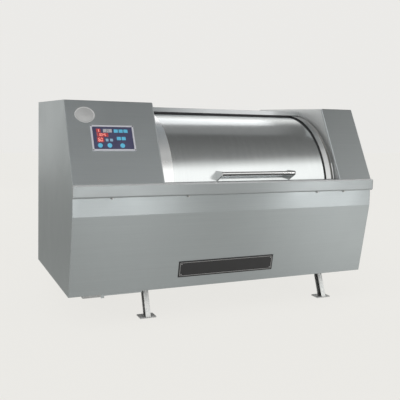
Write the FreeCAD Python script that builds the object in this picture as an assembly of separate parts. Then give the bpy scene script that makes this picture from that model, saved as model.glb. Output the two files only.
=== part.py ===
import FreeCAD, Part
import math
import os

# Horizontal industrial washing machine: a perforated drum turns on two trunnions inside a fixed tub.
# A curved outer door slides round the tub on two guide rails, and a second door slides round the drum.
# The drive stands in the wide control cabinet on the left, the water fittings in the narrow one on the right.
# Frame: X along the drum to the right, the front faces -Y, Z up, origin on the floor under the middle.
# Angles round the drum start at the front horizontal and grow upwards, so 90 is the top of the drum.

V = FreeCAD.Vector

# Drum and tub
DRUM_R = 525.0
DRUM_LENGTH = 1324.0
DRUM_WALL = 3.0
DRUM_END_T = 8.0
DRUM_HATCH_ANGLES = (22.0, 68.0)
DRUM_HATCH_MARGIN = 190.0
TUB_GAP = 44.0
TUB_WALL = 3.0
TUB_END_GAP = 18.0
TUB_END_T = 6.0
TUB_BOTTOM_Z = 268.0
TUB_HATCH_ANGLES = (14.0, 76.0)
TUB_HATCH_MARGIN = 100.0
LIFTER_ANGLES = (135.0, 225.0, 315.0)
LIFTER_HEIGHT = 90.0
LIFTER_HALF_BASE = 55.0
LIFTER_SHEET = 4.0

# Inner door, which slides on the outside of the drum
INNER_DOOR_T = 3.0
INNER_DOOR_LAP_ANGLE = 2.0
INNER_DOOR_END_LAP = 20.0
INNER_DOOR_GAP = 0.4
INNER_DOOR_TRAVEL_ANGLE = 50.0
GUIDE_T = 4.0
GUIDE_LIP = 18.0
GRIP_LENGTH = 120.0
GRIP_T = 8.0
GRIP_HEIGHT = 16.0

# Outer door, its rails and its handle
DOOR_T = 3.0
DOOR_RISE = 11.0
DOOR_ANGLES = (8.0, 92.0)
RAIL_WIDTH = 45.0
RAIL_SHEET = 3.0
RAIL_WEB = 5.0
RAIL_ANGLES = (4.0, 160.0)
RAIL_INSET = 39.0
LIP_WALL_GAP = 0.5
TUB_FLANGE_T = 3.0
RAIL_RISE = 11.0
DOOR_END_GAP = 8.0
WIPER_WIDTH = 8.0
WIPER_GAP = 0.5
GLIDE_WIDTH = 20.0
GLIDE_ANGLE = 4.0
GLIDE_INSET_ANGLE = 1.0
GLIDE_GAP = 0.4
STOP_ANGLE = 1.9
STOP_GAP_ANGLE = 0.05
STOP_INSET = 60.0
STOP_WIDTH = 40.0
STOP_STEP = 1.0
HANDLE_LENGTH = 590.0
HANDLE_ANGLE = 15.7
HANDLE_STANDOFF = 80.0
HANDLE_R = 14.0
BRACKET_T = 7.0
BRACKET_ANGLES = (12.2, 19.4)
BRACKET_RIM = 1.5

# Sheet-metal cabinet
SHEET = 2.0
CORNER = 12.0
RIGHT_CABINET = 288.0
WALL_GAP = 14.0
FRONT_GAP = 42.0
REAR_GAP = 14.0
BOTTOM_Z = 230.0
BEND_Z = 762.0
BOTTOM_SETBACK = 97.0
SLOPE_SETBACK = 275.0
SILL_RISE = 125.0
SILL_GAP = 4.0
LEDGE_HEIGHT = 85.0
LEDGE_REACH = 22.0
LEDGE_ROUND = 12.0
HOOD_AHEAD = 39.0
HOOD_GAP = 2.0
HOOD_FACE = 33.0
HOOD_SEAL_T = 8.0
HOOD_SEAL_LAP = 16.0
TOP_STEP = 23.0
LOUVRE_COUNT = 9
LOUVRE_PITCH = 32.0
LOUVRE_SLOT = (300.0, 10.0)
LOUVRE_BASE = 120.0
SCREW_R = 5.0
SCREW_HEAD = 4.0
LEDGE_SCREWS = (-898.0, -374.0, 659.0, 897.0)
LEDGE_SCREW_R = 8.0
LEDGE_SCREW_HEAD = 9.0
SCREW_INSET = 30.0
SCREW_COUNT = 4

# Stands, feet and bearings
FOOT_LENGTH = 117.0
FOOT_WIDTH = 86.0
FOOT_T = 8.0
FOOT_SPREAD = 397.0
ANCHOR_R = 7.0
ANCHOR_OFFSET = 37.0
LEG_WIDTH = 36.0
LEG_DEPTH = 58.0
LEFT_STAND_GAP = 12.0
RIGHT_STAND_GAP = 20.0
LEG_SHEET = 5.0
LEG_AHEAD = 15.5
LEG_LEAN = math.tan(math.radians(21.2))
LEG_TOP_Z = 640.0
BEAM = 45.0
BEAM_WALL = 4.0
TIE_Z = 250.0
RAIL_CLEAR = 2.0
PEDESTAL_TOP = 130.0
PEDESTAL_HALF_TOP = 120.0
SADDLE_WIDTH = 60.0
SADDLE_INSET = 240.0
SADDLE_GAP = 0.3
SHAFT_R = 40.0
SHAFT_FLANGE_R = 140.0
SHAFT_FLANGE_T = 12.0
SHAFT_PAST_CAP = 14.0
RUNNING_GAP = 0.05
BEARING_R = 75.0
BEARING_INSET = 5.0
CAP_R = 105.0
CAP_T = 10.0
CAP_GAP = 3.0
CAP_BOLTS = 6
CAP_BOLT_R = 8.0
CAP_BOLT_HEAD = 9.0
SEAL_SEAT_R = 60.0
SEAL_FLANGE_R = 110.0
SEAL_WIDTH = 12.0
SEAL_GAP = 0.3
HOLE_GAP = 0.5

# Drive
PULLEY_R = 286.0
DRIVE_RATIO = 3.5
PULLEY_WIDTH = 60.0
PULLEY_HUB_R = 72.0
PULLEY_RIM = 26.0
PULLEY_WEB = 14.0
PULLEY_OFFSET = 124.0
GROOVE_COUNT = 3
GROOVE_WIDTH = 13.0
GROOVE_PITCH = 19.0
GROOVE_DEPTH = 12.0
BELT_WIDTH = 12.0
BELT_T = 9.0
BELT_GAP = 0.4
OUTPUT_R = 22.0
OUTPUT_DEPTH = 40.0
REDUCER_GAP = 18.0
REDUCER_LENGTH = 85.0
REDUCER_R = 102.0
REDUCER_BOSS_R = 55.0
REDUCER_BOSS = 16.0
MOTOR_AXIS_HEIGHT = 112.0
MOTOR_AHEAD = 85.0
MOTOR_LENGTH = 200.0
MOTOR_R = 88.0
FIN_COUNT = 28
FIN_HEIGHT = 14.0
FIN_SHARE = 0.4
SHIELD_T = 12.0
FAN_COVER_LENGTH = 58.0
FAN_COVER_T = 2.0
FAN_R = 78.0
FAN_BLADES = 7
FAN_WIDTH = 26.0
FAN_BLADE_T = 3.0
FAN_SHAFT_R = 12.0
TERMINAL_BOX = (110.0, 100.0, 46.0)
MOTOR_FOOT = 40.0
MOTOR_SIDE_GAP = 53.0
CRADLE_Z = 150.0
CRADLE_T = 10.0
CRADLE_LENGTH = 140.0
CRADLE_INSET = 8.0

# Water fittings
NECK_R = 60.0
NECK_WALL = 4.0
NECK_OFFSET = 324.0
NECK_LENGTH = 18.0
VALVE_HEIGHT = 60.0
VALVE_R = 72.0
DISC_T = 8.0
DISC_GAP = 0.5
DISC_STEM_R = 8.0
ACTUATOR = (70.0, 80.0, 60.0)
OUTLET_R = 57.0
OUTLET_WALL = 4.5
SPIGOT_STEP = 2.0
SPIGOT_LENGTH = 80.0
OUTLET_DROP = 4.0
INLET_R = 21.0
INLET_BORE_R = 16.0
SOCKET_R = 18.0
SOCKET_DEPTH = 30.0
INLET_OFFSET = 110.0
INLET_POINTS = ((180.0, 300.0), (-100.0, -330.0))
INLET_VALVE_R = 38.0
INLET_VALVE_LENGTH = 90.0
INLET_VALVE_INSET = 120.0

# Control panel on the left slope, and plates
CONTROL_INSET = 152.0
CONTROL_WIDTH = 290.0
CONTROL_BASE = 231.0
CONTROL_HEIGHT = 183.0
BEZEL_WIDTH = 11.0
BEZEL_RISE = 6.0
FACE_T = 3.0
FACE_GAP = 0.3
FACE_REST = 6.0
WINDOW_T = 1.5
WINDOWS = ((25.0, 119.0, 30.0, 27.0), (71.0, 120.0, 59.0, 25.0), (27.0, 89.0, 76.0, 27.0),
           (25.0, 50.0, 46.0, 36.0))
KEY_GAP = 0.4
KEY_RISE = 2.2
KEY_FOOT = 0.2
ROUND_KEYS = {"key_start": (42.0, 27.0), "key_stop": (105.0, 27.0), "key_reset": (191.0, 26.0)}
ROUND_KEY_R = 16.0
SQUARE_KEYS = {"key_up": (157.0, 131.0), "key_set": (190.0, 131.0), "key_down": (223.0, 131.0),
               "key_hot": (171.0, 77.0), "key_cold": (204.0, 77.0)}
SQUARE_KEY = (28.0, 24.0)
PLATE_LENGTH = 742.0
PLATE_HEIGHT = 116.0
PLATE_BASE = 75.0
PLATE_T = 3.0
PLATE_SHIFT = -195.0
BOX_SIZE = (150.0, 400.0, 380.0)
BOX_BASE = 990.0
BOX_BACK = 60.0
GLAND_R = 22.0
GLAND_BORE_R = 9.0
GLAND_LENGTH = 20.0
GLAND_X = 75.0
GLAND_Z = 900.0

# Places worked out from the sizes above
tub_r_in = DRUM_R + TUB_GAP
tub_r = tub_r_in + TUB_WALL
door_r_in = tub_r + DOOR_RISE
door_r = door_r_in + DOOR_T
rail_r = door_r + RAIL_RISE
axis_z = TUB_BOTTOM_Z + tub_r

depth = LEDGE_REACH + FRONT_GAP + 2 * rail_r + REAR_GAP
back_y = depth / 2
ledge_y = -depth / 2
front_y = ledge_y + LEDGE_REACH
axis_y = front_y + FRONT_GAP + rail_r
ledge_top_z = axis_z + SILL_RISE
hood_bottom_z = axis_z + rail_r + HOOD_GAP
hood_top_z = hood_bottom_z + HOOD_FACE
top_z = hood_top_z + TOP_STEP
hood_y = axis_y - HOOD_AHEAD

reducer_start = PULLEY_OFFSET + PULLEY_WIDTH + REDUCER_GAP
motor_start = reducer_start + REDUCER_LENGTH
motor_end = motor_start + SHIELD_T + MOTOR_LENGTH + FAN_COVER_LENGTH
left_cabinet = motor_end + MOTOR_SIDE_GAP + SHEET
tub_side = TUB_END_GAP + TUB_END_T + WALL_GAP
width = left_cabinet + DRUM_LENGTH + 2 * tub_side + RIGHT_CABINET
left_x = -width / 2
right_x = width / 2
wall_x = {-1: left_x + left_cabinet, 1: right_x - RIGHT_CABINET}
middle_x = (wall_x[-1] + wall_x[1]) / 2
drum_x = (wall_x[-1] + tub_side, wall_x[1] - tub_side)
tub_x = (drum_x[0] - TUB_END_GAP, drum_x[1] + TUB_END_GAP)
between_walls = (wall_x[-1], wall_x[1])
drum_hatch_x = (drum_x[0] + DRUM_HATCH_MARGIN, drum_x[1] - DRUM_HATCH_MARGIN)
tub_hatch_x = (tub_x[0] + TUB_HATCH_MARGIN, tub_x[1] - TUB_HATCH_MARGIN)
rail_out_x = {side: wall_x[side] - side * RAIL_INSET for side in (-1, 1)}
lip_out_x = {-1: wall_x[-1] + LIP_WALL_GAP, 1: rail_out_x[1]}
rail_in_x = {side: rail_out_x[side] - side * RAIL_WIDTH for side in (-1, 1)}
door_x = tuple(rail_out_x[side] - side * (RAIL_WEB + DOOR_END_GAP) for side in (-1, 1))

stand_in = {-1: SHEET + LEFT_STAND_GAP, 1: SHEET + RIGHT_STAND_GAP}
stand_out = {side: stand_in[side] + LEG_WIDTH for side in (-1, 1)}
cap_out = {side: stand_out[side] + CAP_T for side in (-1, 1)}
leg_reach = FOOT_SPREAD + LEG_AHEAD
rail_spread = leg_reach - (TIE_Z + BEAM) * LEG_LEAN + LEG_DEPTH / 2 + RAIL_CLEAR + BEAM / 2
rear_y = (back_y - SCREW_HEAD - SHEET, back_y - SCREW_HEAD)
output_y = axis_y - MOTOR_AHEAD
output_z = CRADLE_Z + CRADLE_T + MOTOR_AXIS_HEIGHT
drive_pulley_r = (PULLEY_R - GROOVE_DEPTH) / DRIVE_RATIO + GROOVE_DEPTH


def span(side, near, far):
    """X range that lies from near to far outwards of a cabinet's inner wall."""
    ends = (wall_x[side] + side * near, wall_x[side] + side * far)
    return (min(ends), max(ends))


def block(x, y, z):
    return Part.makeBox(x[1] - x[0], y[1] - y[0], z[1] - z[0], V(x[0], y[0], z[0]))


def prism(points, x):
    """A polygon of (y, z) points, extruded along X."""
    corners = [V(x[0], y, z) for y, z in points]
    face = Part.Face(Part.makePolygon(corners + corners[:1]))
    return face.extrude(V(x[1] - x[0], 0, 0))


def disc(radius, x, y=None, z=None):
    y = axis_y if y is None else y
    z = axis_z if z is None else z
    return Part.makeCylinder(radius, x[1] - x[0], V(x[0], y, z), V(1, 0, 0))


def ring(r_in, r_out, x, y=None, z=None):
    return disc(r_out, x, y, z).cut(disc(r_in, x, y, z))


def on_arc(radius, angle):
    turn = math.radians(angle)
    return (axis_y - radius * math.cos(turn), axis_z + radius * math.sin(turn))


def sector(r_in, r_out, x, arc):
    """Part of a ring round the drum axis, between two angles."""
    def point(radius, angle):
        return V(x[0], *on_arc(radius, angle))

    middle = (arc[0] + arc[1]) / 2
    edges = [
        Part.Arc(point(r_out, arc[0]), point(r_out, middle), point(r_out, arc[1])).toShape(),
        Part.LineSegment(point(r_out, arc[1]), point(r_in, arc[1])).toShape(),
        Part.Arc(point(r_in, arc[1]), point(r_in, middle), point(r_in, arc[0])).toShape(),
        Part.LineSegment(point(r_in, arc[0]), point(r_out, arc[0])).toShape(),
    ]
    return Part.Face(Part.Wire(edges)).extrude(V(x[1] - x[0], 0, 0))


def box_tube(x, y, z, wall, along):
    """A rectangular tube, open at both ends of the axis named by along."""
    inner = [(a + wall, b - wall) for a, b in (x, y, z)]
    inner["xyz".index(along)] = (x, y, z)["xyz".index(along)]
    return block(x, y, z).cut(block(*inner))


def meet(line_a, line_b):
    """Where two lines, each a point and a direction in (y, z), cross."""
    (ay, az), (ey, ez) = line_a
    (by, bz), (fy, fz) = line_b
    t = ((by - ay) * fz - (bz - az) * fy) / (ey * fz - ez * fy)
    return (ay + t * ey, az + t * ez)


def inset(points, amounts):
    """The convex outline moved inwards, each edge by its own amount."""
    lines = []
    for (ay, az), (by, bz), amount in zip(points, points[1:] + points[:1], amounts):
        length = math.hypot(by - ay, bz - az)
        dy, dz = (by - ay) / length, (bz - az) / length
        lines.append(((ay + dz * amount, az - dy * amount), (dy, dz)))
    return [meet(before, line) for before, line in zip(lines[-1:] + lines[:-1], lines)]


def surface_frame(low, high):
    """Placement of a flat panel: local X along the machine, local Y up the panel, local Z out of it."""
    length = math.hypot(high[0] - low[0], high[1] - low[1])
    uy, uz = (high[0] - low[0]) / length, (high[1] - low[1]) / length
    matrix = FreeCAD.Matrix(1, 0, 0, 0, 0, uy, -uz, low[0], 0, uz, uy, low[1], 0, 0, 0, 1)
    return FreeCAD.Placement(matrix)


def placed(shape, placement):
    return shape.transformed(placement.toMatrix(), True)


# Outline of the end cabinets, from the front bottom corner round the front, top and back
outline = [
    (front_y + BOTTOM_SETBACK, BOTTOM_Z),
    (front_y, BEND_Z),
    (front_y, ledge_top_z),
    (front_y + SLOPE_SETBACK, top_z),
    (back_y, top_z),
    (back_y, BOTTOM_Z),
]
inside = inset(outline, (SHEET, SHEET, SHEET, SHEET, SHEET + SCREW_HEAD, 0.0))
wall_outline = inset(outline, (SHEET, SHEET, CORNER, CORNER, SHEET + SCREW_HEAD, 0.0))
fold_depth = inset(outline, (2 * CORNER,) * len(outline))
slope_frame = surface_frame(outline[2], outline[3])
apron_frame = surface_frame(outline[0], outline[1])
inner_x = (left_x + SHEET, right_x - SHEET)


def leg_y(side, z):
    """Middle of a leg at a height: side is -1 for the front legs and 1 for the rear ones."""
    return axis_y + side * (leg_reach - z * LEG_LEAN)


def feet():
    plates = []
    for end in (-1, 1):
        leg_x = span(end, stand_in[end], stand_out[end])
        centre_x = (leg_x[0] + leg_x[1]) / 2
        for side in (-1, 1):
            centre_y = axis_y + side * FOOT_SPREAD
            plate = block((centre_x - FOOT_LENGTH / 2, centre_x + FOOT_LENGTH / 2),
                          (centre_y - FOOT_WIDTH / 2, centre_y + FOOT_WIDTH / 2), (0, FOOT_T))
            hole = Part.makeCylinder(ANCHOR_R, FOOT_T, V(centre_x + end * ANCHOR_OFFSET, centre_y, 0))
            plates.append(plate.cut(hole))
    return plates


def legs():
    """Splayed channel legs, open to the left, from the foot plates up to the pedestals."""
    half = LEG_DEPTH / 2
    bars = []
    for end in (-1, 1):
        x = span(end, stand_in[end], stand_out[end])
        for side in (-1, 1):
            low, high = leg_y(side, FOOT_T), leg_y(side, LEG_TOP_Z)

            def bar(margin):
                reach = half - margin
                return [(low - reach, FOOT_T), (high - reach, LEG_TOP_Z),
                        (high + reach, LEG_TOP_Z), (low + reach, FOOT_T)]

            hollow = prism(bar(LEG_SHEET), (x[0], x[1] - LEG_SHEET))
            bars.append(prism(bar(0.0), x).cut(hollow))
    return bars


def tie_beams():
    reach = rail_spread + BEAM / 2 + BEAM_WALL
    beams = []
    for end in (-1, 1):
        beams.append(box_tube(span(end, stand_out[end], stand_out[end] + BEAM), (axis_y - reach, axis_y + reach),
                              (TIE_Z, TIE_Z + BEAM), BEAM_WALL, "y"))
    return beams


def frame_rails():
    beams = []
    for side in (-1, 1):
        centre = axis_y + side * rail_spread
        beams.append(box_tube(inner_x, (centre - BEAM / 2, centre + BEAM / 2),
                              (TIE_Z + BEAM, TIE_Z + 2 * BEAM), BEAM_WALL, "x"))
    return beams


def pedestals():
    """Cast bearing pedestals that stand on the leg tops."""
    half_base = abs(leg_y(1, LEG_TOP_Z) - axis_y) + LEG_DEPTH / 2
    head_z = axis_z + PEDESTAL_TOP
    corners = [(axis_y - half_base, LEG_TOP_Z), (axis_y - PEDESTAL_HALF_TOP, head_z),
               (axis_y + PEDESTAL_HALF_TOP, head_z), (axis_y + half_base, LEG_TOP_Z)]
    blocks = []
    for end in (-1, 1):
        x = span(end, stand_in[end], stand_out[end])
        blocks.append(prism(corners, x).cut(disc(BEARING_R, x)))
    return blocks


def bearings():
    rings = []
    for end in (-1, 1):
        x = span(end, stand_in[end] + BEARING_INSET, stand_out[end] - BEARING_INSET)
        rings.append(ring(SHAFT_R + RUNNING_GAP, BEARING_R, x))
    return rings


def around(y, z, radius, count):
    """Points evenly spaced on a circle in the (y, z) plane."""
    turns = [2 * math.pi * n / count for n in range(count)]
    return [(y + radius * math.cos(turn), z + radius * math.sin(turn)) for turn in turns]


def bearing_caps():
    """Outer covers of the bearings, with their hexagon bolts as separate solids."""
    pieces = []
    for end in (-1, 1):
        pieces.append(ring(SHAFT_R + CAP_GAP, CAP_R, span(end, stand_out[end], cap_out[end])))
        for y, z in around(axis_y, axis_z, (CAP_R + BEARING_R) / 2, CAP_BOLTS):
            head = around(y, z, CAP_BOLT_R, 6)
            pieces.append(prism(head, span(end, cap_out[end], cap_out[end] + CAP_BOLT_HEAD)))
    return pieces


def seal_housings():
    return [ring(SEAL_SEAT_R, SEAL_FLANGE_R, span(end, -WALL_GAP, SHEET)) for end in (-1, 1)]


def shaft_seals():
    return [ring(SHAFT_R + SEAL_GAP, SEAL_SEAT_R, span(end, SHEET - SEAL_WIDTH, SHEET)) for end in (-1, 1)]


def saddles():
    """Blocks on the frame rails, hollowed to carry the tub."""
    blocks = []
    base = TIE_Z + 2 * BEAM
    for x in (tub_x[0] + SADDLE_INSET, tub_x[1] - SADDLE_INSET - SADDLE_WIDTH):
        for side in (-1, 1):
            centre = axis_y + side * rail_spread
            body = block((x, x + SADDLE_WIDTH), (centre - BEAM / 2, centre + BEAM / 2), (base, axis_z))
            blocks.append(body.cut(disc(tub_r + SADDLE_GAP, (x, x + SADDLE_WIDTH))))
    return blocks


def tub_shell():
    shell = ring(tub_r_in, tub_r, tub_x)
    hatch = sector(tub_r_in - TUB_WALL, tub_r + TUB_WALL, tub_hatch_x, TUB_HATCH_ANGLES)
    neck = Part.makeCylinder(NECK_R, axis_z, V(middle_x + NECK_OFFSET, axis_y, 0))
    return shell.cut(hatch).cut(neck)


def tub_ends():
    """End plates of the tub, with a rim out to the cabinet walls."""
    ends = []
    for end in (-1, 1):
        x = span(end, -WALL_GAP - TUB_END_T, -WALL_GAP)
        flange = ring(tub_r - TUB_FLANGE_T, tub_r, span(end, -WALL_GAP, -LIP_WALL_GAP))
        plate = ring(SHAFT_R + CAP_GAP, tub_r, x).fuse(flange).removeSplitter()
        if end == 1:
            for dy, dz in INLET_POINTS:
                plate = plate.cut(disc(INLET_R, x, axis_y + dy, axis_z + dz))
        ends.append(plate)
    return ends


def door_rails():
    """Curved channels on the tub: the door's ends run under their lips, and the left lip reaches the wall."""
    rails = []
    for end in (-1, 1):
        out, edge = rail_out_x[end], rail_in_x[end]
        web = sector(tub_r, rail_r, tuple(sorted((out - end * RAIL_WEB, out))), RAIL_ANGLES)
        lip = sector(rail_r - RAIL_SHEET, rail_r, tuple(sorted((edge, lip_out_x[end]))), RAIL_ANGLES)
        rails.append(web.fuse(lip).removeSplitter())
    return rails


def door_seals():
    """Rubber wipers under the rail lips, the lip seal behind the hood edge and the two stop buffers."""
    pieces = []
    for end in (-1, 1):
        edge = rail_in_x[end]
        pieces.append(sector(door_r + WIPER_GAP, rail_r - RAIL_SHEET,
                             tuple(sorted((edge, edge + end * WIPER_WIDTH))), RAIL_ANGLES))
        stop_x = tuple(sorted((door_x[(end + 1) // 2] - end * STOP_INSET,
                               door_x[(end + 1) // 2] - end * (STOP_INSET + STOP_WIDTH))))
        high = DOOR_ANGLES[0] - STOP_GAP_ANGLE
        pieces.append(sector(tub_r, door_r - STOP_STEP, stop_x, (high - STOP_ANGLE, high)))
    lip_y = (hood_y + SHEET, hood_y + SHEET + HOOD_SEAL_T)
    lip_x = (rail_in_x[-1] + WIPER_GAP, rail_in_x[1] - WIPER_GAP)
    lip = block(lip_x, lip_y, (axis_z, hood_bottom_z + HOOD_SEAL_LAP))
    pieces.append(lip.cut(disc(door_r + WIPER_GAP, between_walls)))
    return pieces


def door_skin():
    return sector(door_r_in, door_r, door_x, DOOR_ANGLES)


def door_glides():
    pieces = []
    for end in (-1, 1):
        edge = door_x[(end + 1) // 2]
        x = tuple(sorted((edge, edge - end * GLIDE_WIDTH)))
        for low in (DOOR_ANGLES[0] + GLIDE_INSET_ANGLE, DOOR_ANGLES[1] - GLIDE_INSET_ANGLE - GLIDE_ANGLE):
            pieces.append(sector(tub_r + GLIDE_GAP, door_r_in, x, (low, low + GLIDE_ANGLE)))
    return pieces


handle_y, handle_z = on_arc(door_r + HANDLE_STANDOFF, HANDLE_ANGLE)
handle_x = (middle_x - HANDLE_LENGTH / 2, middle_x + HANDLE_LENGTH / 2)


def handle_bar():
    return disc(HANDLE_R, (handle_x[0] + BRACKET_T, handle_x[1] - BRACKET_T), handle_y, handle_z)


def handle_brackets():
    """Three-cornered gusset plates from the door out to the ends of the bar."""
    rim = HANDLE_R + BRACKET_RIM
    reach = door_r + HANDLE_STANDOFF
    turn = math.degrees(rim / reach)
    corners = [on_arc(door_r_in, BRACKET_ANGLES[0]), on_arc(reach, HANDLE_ANGLE - turn),
               on_arc(reach, HANDLE_ANGLE + turn), on_arc(door_r_in, BRACKET_ANGLES[1])]
    plates = []
    for x in ((handle_x[0], handle_x[0] + BRACKET_T), (handle_x[1] - BRACKET_T, handle_x[1])):
        plate = prism(corners, x).fuse(disc(rim, x, handle_y, handle_z)).removeSplitter()
        plates.append(plate.cut(disc(door_r, x)))
    return plates


def hood_cover():
    top = block(between_walls, (hood_y, rear_y[0]), (hood_top_z - SHEET, hood_top_z))
    face = block(between_walls, (hood_y, hood_y + SHEET), (hood_bottom_z, hood_top_z))
    return top.fuse(face).removeSplitter()


def side_panel(end):
    x = (left_x, left_x + SHEET) if end == -1 else (right_x - SHEET, right_x)
    return prism(outline, x)


def inner_walls():
    walls = []
    for end in (-1, 1):
        x = span(end, 0, SHEET)
        wall = prism(wall_outline, x).cut(disc(SEAL_FLANGE_R + HOLE_GAP, x))
        if end == 1:
            for dy, dz in INLET_POINTS:
                wall = wall.cut(disc(INLET_R + HOLE_GAP, x, axis_y + dy, axis_z + dz))
        for side in (-1, 1):
            centre = axis_y + side * rail_spread
            notch = block(x, (centre - BEAM / 2, centre + BEAM / 2), (TIE_Z + BEAM, TIE_Z + 2 * BEAM))
            wall = wall.cut(notch)
        walls.append(wall)
    return walls


def cabinet_x(end):
    return (inner_x[0], wall_x[-1]) if end == -1 else (wall_x[1], inner_x[1])


def folded_sheet(end, place, region):
    """Flat sheet of a cabinet whose edge at the inner wall is rounded over to meet the wall."""
    outer, wall = (inner_x[0], wall_x[-1]) if end == -1 else (inner_x[1], wall_x[1])
    bend = wall + end * CORNER
    slant = math.sqrt(0.5)

    def on_bend(radius, share):
        """Point of the bend: 0 at the flat, 1 at the wall and a half between."""
        across, out = {0: (0, 1), 0.5: (slant, slant), 1: (1, 0)}[share]
        return V(bend - end * radius * across, -2 * width, radius * out - CORNER)

    far = CORNER - SHEET
    edges = [
        Part.LineSegment(V(outer, -2 * width, 0), on_bend(CORNER, 0)).toShape(),
        Part.Arc(on_bend(CORNER, 0), on_bend(CORNER, 0.5), on_bend(CORNER, 1)).toShape(),
        Part.LineSegment(on_bend(CORNER, 1), on_bend(far, 1)).toShape(),
        Part.Arc(on_bend(far, 1), on_bend(far, 0.5), on_bend(far, 0)).toShape(),
        Part.LineSegment(on_bend(far, 0), V(outer, -2 * width, -SHEET)).toShape(),
        Part.LineSegment(V(outer, -2 * width, -SHEET), V(outer, -2 * width, 0)).toShape(),
    ]
    long_sheet = Part.Face(Part.Wire(edges)).extrude(V(0, 4 * width, 0))
    return placed(long_sheet, place).common(prism(region, cabinet_x(end)))


def fascia(end):
    """Sloped front sheet of a cabinet; the left one has the window for the control panel."""
    sheet = folded_sheet(end, slope_frame, [outline[2], outline[3], fold_depth[3], fold_depth[2]])
    if end == -1:
        rim = BEZEL_WIDTH + FACE_REST
        window = Part.makeBox(CONTROL_WIDTH - 2 * rim, CONTROL_HEIGHT - 2 * rim, 4 * SHEET,
                              V(left_x + CONTROL_INSET + rim, CONTROL_BASE + rim, -2 * SHEET))
        sheet = sheet.cut(placed(window, slope_frame))
    return sheet


def top_panels():
    place = surface_frame(outline[3], outline[4])
    region = [outline[3], outline[4], (back_y, fold_depth[4][1]), fold_depth[3]]
    return [folded_sheet(end, place, region) for end in (-1, 1)]


def front_panel():
    return prism([outline[0], outline[1], outline[2], inside[2], inside[1], inside[0]], inner_x)


def apron_ledge():
    """Rounded bumper trough along the whole front, with closed ends and its open side on the front panel."""
    def section(margin, x):
        low, high = ledge_top_z - LEDGE_HEIGHT + margin, ledge_top_z - margin
        near = ledge_y + margin
        curve = LEDGE_ROUND - margin
        slant = curve * math.sqrt(0.5)
        corners = [V(x[0], y, z) for y, z in ((front_y, high), (near + curve, high), (near, high - curve),
                                              (near, low + curve), (near + curve, low), (front_y, low))]
        upper = V(x[0], near + curve - slant, high - curve + slant)
        lower = V(x[0], near + curve - slant, low + curve - slant)
        edges = [
            Part.LineSegment(corners[0], corners[1]).toShape(),
            Part.Arc(corners[1], upper, corners[2]).toShape(),
            Part.LineSegment(corners[2], corners[3]).toShape(),
            Part.Arc(corners[3], lower, corners[4]).toShape(),
            Part.LineSegment(corners[4], corners[5]).toShape(),
            Part.LineSegment(corners[5], corners[0]).toShape(),
        ]
        return Part.Face(Part.Wire(edges)).extrude(V(x[1] - x[0], 0, 0))

    return section(0.0, (left_x, right_x)).cut(section(SHEET, inner_x))


def door_sill():
    """Shelf between the cabinets, from the front panel back to the door rails."""
    rise = SILL_RISE - SHEET
    back = axis_y - math.sqrt((rail_r + SILL_GAP) ** 2 - rise ** 2)
    return block(between_walls, (front_y + SHEET, back), (ledge_top_z - SHEET, ledge_top_z))


def rear_panels():
    """Three flat back sheets; the left one has louvre slots for the motor and the power gland's hole."""
    sheets = []
    for end in (-1, 1):
        x = cabinet_x(end)
        flat = (x[0], x[1] - CORNER) if end == -1 else (x[0] + CORNER, x[1])
        sheet = block(x, rear_y, (BOTTOM_Z, top_z - CORNER))
        sheet = sheet.fuse(block(flat, rear_y, (BOTTOM_Z, top_z - SHEET))).removeSplitter()
        if end == -1:
            slot_x = (sum(x) / 2 - LOUVRE_SLOT[0] / 2, sum(x) / 2 + LOUVRE_SLOT[0] / 2)
            for row in range(LOUVRE_COUNT):
                low = BOTTOM_Z + LOUVRE_BASE + row * LOUVRE_PITCH
                sheet = sheet.cut(block(slot_x, rear_y, (low, low + LOUVRE_SLOT[1])))
            sheet = sheet.cut(along_y(GLAND_BORE_R, rear_y, left_x + GLAND_X, GLAND_Z))
        else:
            for dy, dz in INLET_POINTS:
                sheet = sheet.cut(along_y(INLET_R + HOLE_GAP, rear_y, wall_x[1] + INLET_OFFSET, axis_z + dz))
        sheets.append(sheet)
    sheets.append(block(between_walls, rear_y, (BOTTOM_Z, hood_top_z)))
    return sheets


def along_y(radius, y, x, z):
    return Part.makeCylinder(radius, y[1] - y[0], V(x, y[0], z), V(0, 1, 0))


def panel_screws():
    """Pan-head screws of the rear sheets and under the ledge."""
    heads = []
    columns = (left_x + SCREW_INSET, wall_x[-1] - SCREW_INSET, wall_x[-1] + SCREW_INSET,
               wall_x[1] - SCREW_INSET, wall_x[1] + SCREW_INSET, right_x - SCREW_INSET)
    step = (hood_top_z - BOTTOM_Z - 2 * SCREW_INSET) / (SCREW_COUNT - 1)
    for x in columns:
        for row in range(SCREW_COUNT):
            z = BOTTOM_Z + SCREW_INSET + row * step
            heads.append(along_y(SCREW_R, (rear_y[1], back_y), x, z))
    ledge_low = ledge_top_z - LEDGE_HEIGHT
    for x in LEDGE_SCREWS:
        place = V(x, front_y - LEDGE_SCREW_R, ledge_low - LEDGE_SCREW_HEAD)
        heads.append(Part.makeCylinder(LEDGE_SCREW_R, LEDGE_SCREW_HEAD, place))
    return heads


def nameplate():
    plate = Part.makeBox(PLATE_LENGTH, PLATE_HEIGHT, PLATE_T,
                         V(middle_x + PLATE_SHIFT - PLATE_LENGTH / 2, PLATE_BASE, 0))
    return placed(plate, apron_frame)


def on_slope(x, s, size_x, size_s, low, high):
    """A block on the control slope, measured from the inside corner of the bezel."""
    start = V(left_x + CONTROL_INSET + BEZEL_WIDTH + x, CONTROL_BASE + BEZEL_WIDTH + s, low)
    return Part.makeBox(size_x, size_s, high - low, start)


def round_on_slope(x, s, radius, low, high):
    start = V(left_x + CONTROL_INSET + BEZEL_WIDTH + x, CONTROL_BASE + BEZEL_WIDTH + s, low)
    return Part.makeCylinder(radius, high - low, start)


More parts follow.
